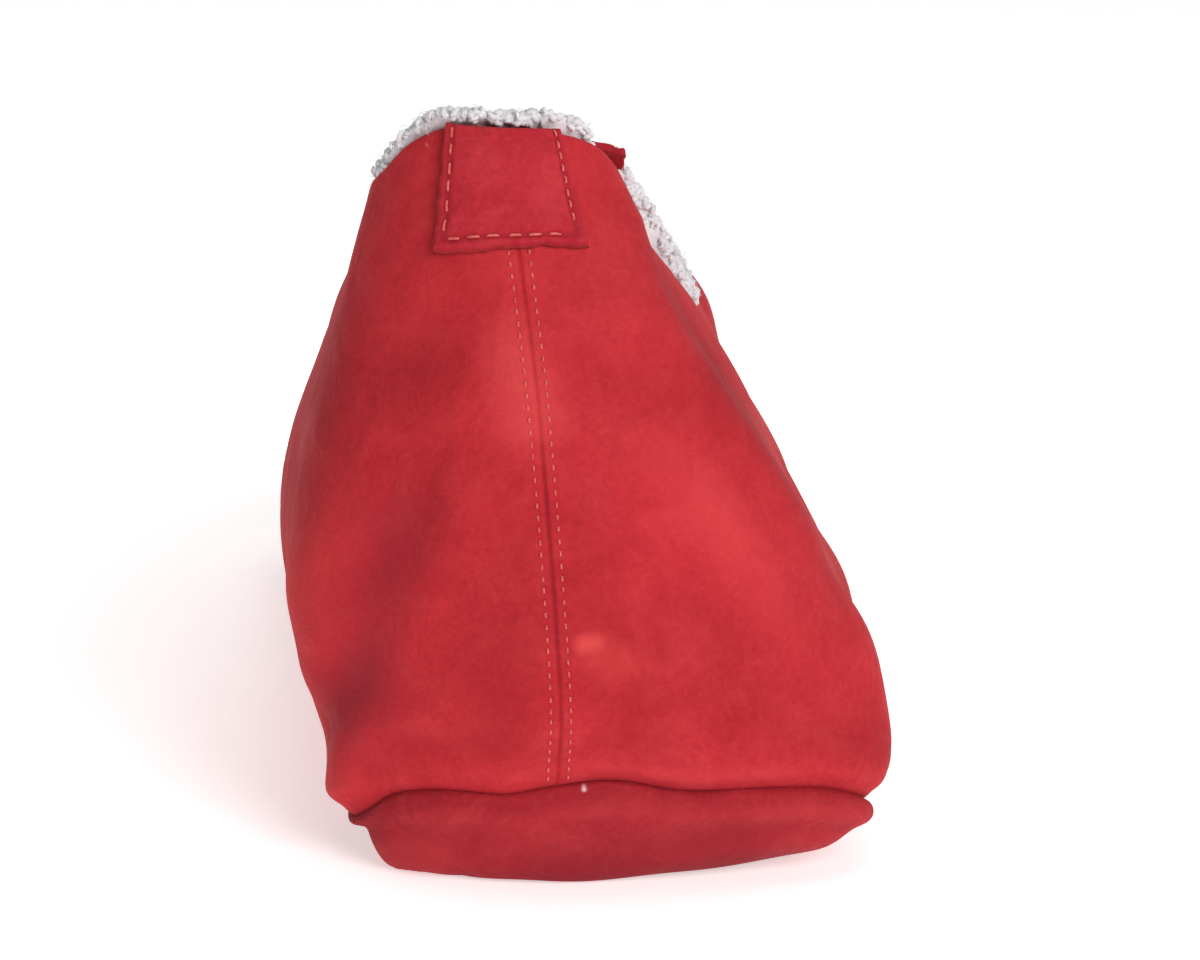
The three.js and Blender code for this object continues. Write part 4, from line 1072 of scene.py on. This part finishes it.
def stitch_row(line, normals, pitch, length, radius):
    """Stitches along a line of surface points: middles a pitch apart, each a tube that bows outward
    and dips in at its ends."""
    far = run_along(line)
    middle = np.arange(pitch / 2, far[-1] - pitch / 2, pitch)
    rng = np.random.default_rng(len(line) + int(pitch * 100))
    middle = middle + rng.uniform(-0.06, 0.06, len(middle)) * pitch
    s = np.linspace(-1, 1, 9)
    places = middle[:, None] + s[None] * length / 2
    out = unit(at_length(places, far, normals))
    bow = radius * (1.0 - 1.9 * s ** 4)
    lines = at_length(places, far, line) + out * bow[None, :, None]
    run = unit(np.gradient(lines, axis=1))
    side = unit(np.cross(run, out))
    widths = radius * np.sqrt(np.clip(1.02 - s ** 8, 0.02, 1))[None] * np.ones((len(middle), 1))
    return tubes(lines, widths, side, np.cross(side, run))


def joined(parts):
    """Several meshes' points and faces as one."""
    points, faces, start = [], [], 0
    for p, f in parts:
        points.append(p)
        faces.append(f + start)
        start += len(p)
    return np.concatenate(points), np.concatenate(faces)


def on_upper(t, v):
    """Points on the upper's outer skin at rib and row places, with the normals of the last there from
    small steps along both; the relief is read from its grid by straight lines."""
    step = 1e-3
    along = upper_point(t, np.minimum(v + step, 3)) - upper_point(t, np.maximum(v - step, 0))
    out = unit(np.cross(along, upper_point(t + step, v) - upper_point(t - step, v)))
    x = np.interp(np.mod(t, COUNT), np.append(T, COUNT), np.arange(len(T) + 1))
    y = np.interp(v, V, np.arange(len(V)))
    i, k = np.floor(x).astype(int), np.minimum(y.astype(int), len(V) - 2)
    a, b = x - i, y - k
    raised = between(relief, i % len(T), (i + 1) % len(T), k, a, b)
    return upper_point(t, v) + out * raised[..., None], out


def per_rib(t, v):
    """Millimetres that one rib place takes there, and one row place."""
    step = 1e-2
    round_ = upper_point(t + step, v) - upper_point(t - step, v)
    along = upper_point(t, v) - upper_point(t, v - step)
    return np.linalg.norm(round_, axis=-1) / (2 * step), np.linalg.norm(along, axis=-1) / step


SEAM_STITCH = (1.78, 0.8, 0.16)  # pitch, length and half thickness
TAB_RADIUS = 0.21
rise_v = np.linspace(0.12, 2.94, 200)
off = STITCH_OFF / per_rib(np.zeros(200), rise_v)[0]
points, faces = joined([stitch_row(*on_upper(way * off, rise_v), *SEAM_STITCH) for way in (-1, 1)])
back_stitches = mesh_object("back_seam_stitches", points - SHIFT, faces, thread)
# Over the front: along the ridge to the toe and down it, with the turn there eased over some points.
ridge_t = np.linspace(THROAT + 0.02, HALF - 0.12, 240)
ridge_v = 3 - STITCH_OFF / per_rib(ridge_t, np.full(240, 3.0))[1]
front_v = np.linspace(ridge_v[-1], 0.12, 120)
front_t = HALF - STITCH_OFF / per_rib(np.full(120, float(HALF)), front_v)[0]
t = np.concatenate([ridge_t, np.minimum(front_t, HALF - 0.02)[4:]])
v = np.concatenate([ridge_v, front_v[4:]])
t, v = [np.convolve(np.pad(x, 12, "edge"), np.ones(25) / 25, "valid") for x in (t, v)]
points, faces = joined([stitch_row(*on_upper(way * t, v), *SEAM_STITCH) for way in (-1, 1)])
front_stitches = mesh_object("front_seam_stitches", points - SHIFT, faces, thread)


def tab_rows(grid, out, size, pitches):
    """Stitch rows down both sides and along the bottom of a tab's grid."""
    one, side, low = np.linspace(0, 1, 60), STITCH_INSET / size[0], 1 - STITCH_INSET / size[1]
    down = 0.02 + one * (low - 0.02)
    parts = []
    for u, w, pitch in ((np.full(60, side), down, pitches[0]),
                        (side + one * (1 - 2 * side), np.full(60, low), pitches[1]),
                        (np.full(60, 1 - side), down, pitches[2])):
        x, y = u * (grid.shape[0] - 1), w * (grid.shape[1] - 1)
        i = np.minimum(x.astype(int), grid.shape[0] - 2)
        k = np.minimum(y.astype(int), grid.shape[1] - 2)
        a, b = (x - i)[:, None], (y - k)[:, None]
        line, n = between(grid, i, i + 1, k, a, b), unit(between(out, i, i + 1, k, a, b))
        parts.append(stitch_row(line, n, pitch, pitch * 0.66, TAB_RADIUS))
    return joined(parts)


points, faces = tab_rows(heel_top, heel_out, HEEL_TAB_SIZE, (2.85, 3.1, 1.9))
heel_tab_stitches = mesh_object("heel_tab_stitches", points - SHIFT, faces, thread)
points, faces = tab_rows(throat_top, throat_out, THROAT_TAB_SIZE, (2.6, 2.8, 2.6))
throat_tab_stitches = mesh_object("throat_tab_stitches", points - SHIFT, faces, thread)
for piece in (back_stitches, front_stitches, heel_tab_stitches, throat_tab_stitches):
    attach(piece, "root")

# The curls of the wool: tight locks that stand on the pile, close together over the collar's edge,
# looser down the inside and on the footbed, with single fibres straying from the edge.


LOCK_RINGS = 6


def scattered(grid, normals, count, seed, weight):
    """Random places on a grid, even over its area times a weight, with the normals there."""
    rng = np.random.default_rng(seed)
    a, b = grid[1:, :-1] - grid[:-1, :-1], grid[:-1, 1:] - grid[:-1, :-1]
    area = np.linalg.norm(np.cross(a, b), axis=-1) * weight
    i, k = np.unravel_index(rng.choice(area.size, count, p=(area / area.sum()).ravel()), area.shape)
    u, v = rng.random((2, count, 1))
    return between(grid, i, i + 1, k, u, v), unit(between(normals, i, i + 1, k, u, v))


def curls(roots, out, seed, size, width, turns):
    """Locks: each a tapering tube along an arc that rises from its root, bends over to a random side
    through so many half turns, and drifts sideways."""
    rng = np.random.default_rng(seed)
    n = len(roots)
    lean = rng.normal(size=(n, 3))
    side = unit(lean - out * (lean * out).sum(1, keepdims=True))
    third = np.cross(out, side)
    radius = size * rng.uniform(0.65, 1.35, (n, 1))
    s = np.linspace(0, 1, LOCK_RINGS)[None]
    angle = s * rng.uniform(turns[0], turns[1], (n, 1)) * np.pi
    drift = rng.normal(0, 0.8, (n, 1)) * radius * s
    rise, reach = radius * np.sin(angle) * 1.15 - 0.3, radius * (1 - np.cos(angle))
    lines = roots[:, None] + out[:, None] * rise[..., None] + side[:, None] * reach[..., None]
    lines = lines + third[:, None] * drift[..., None]
    run = unit(np.gradient(lines, axis=1))
    first = unit(third[:, None] - run * (third[:, None] * run).sum(-1, keepdims=True))
    widths = width * rng.uniform(0.75, 1.25, (n, 1)) * np.sqrt(np.clip(1.03 - s ** 3, 0.03, 1))
    return tubes(lines, widths, first, np.cross(run, first))


roll_normals = -unit(np.cross(np.gradient(ROLL, axis=0), np.gradient(ROLL, axis=1)))
under_tab = (np.abs(rim[1:] + rim[:-1]) / 2 < 4.6)[:, None].astype(float)  # none under the throat tab
deeper = (0.12 + np.linspace(0, 1, PILE_ROWS - 1) ** 2)[None]  # fewer toward the footbed
straight_up = np.zeros_like(BED)
straight_up[..., 2] = 1
locks = []
# How many stand where, the seed, and for a lock its radius, half its width and its half turns.
for name, grid, normals, weight, count, seed, size, width, turns in (
        ("fleece_collar_curls", ROLL[:, 2:], roll_normals[:, 2:], under_tab, 4400, 81, 0.56, 0.5, (0.8, 1.3)),
        ("fleece_wall_curls", PILE, -BACKING_OUT, deeper, 4000, 83, 0.8, 0.52, (0.8, 1.3)),
        ("footbed_curls", BED[:, 8:], straight_up[:, 8:], 1.0, 3000, 85, 0.85, 0.5, (0.8, 1.25)),
        ("fleece_stray_fibres", ROLL[:, 2:], roll_normals[:, 2:], under_tab, 900, 87, 1.1, 0.05, (0.5, 1.1))):
    roots, out = scattered(grid, normals, count, seed, weight)
    points, faces = curls(roots, out, seed + 1, size, width, turns)
    locks.append(mesh_object(name, points - SHIFT, faces, wool))
rim_curls, wall_curls, bed_curls, stray_fibres = locks
for piece, slot in ((rim_curls, "fleece"), (wall_curls, "fleece"), (stray_fibres, "fleece"),
                    (bed_curls, "footbed_fleece")):
    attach(piece, "root")
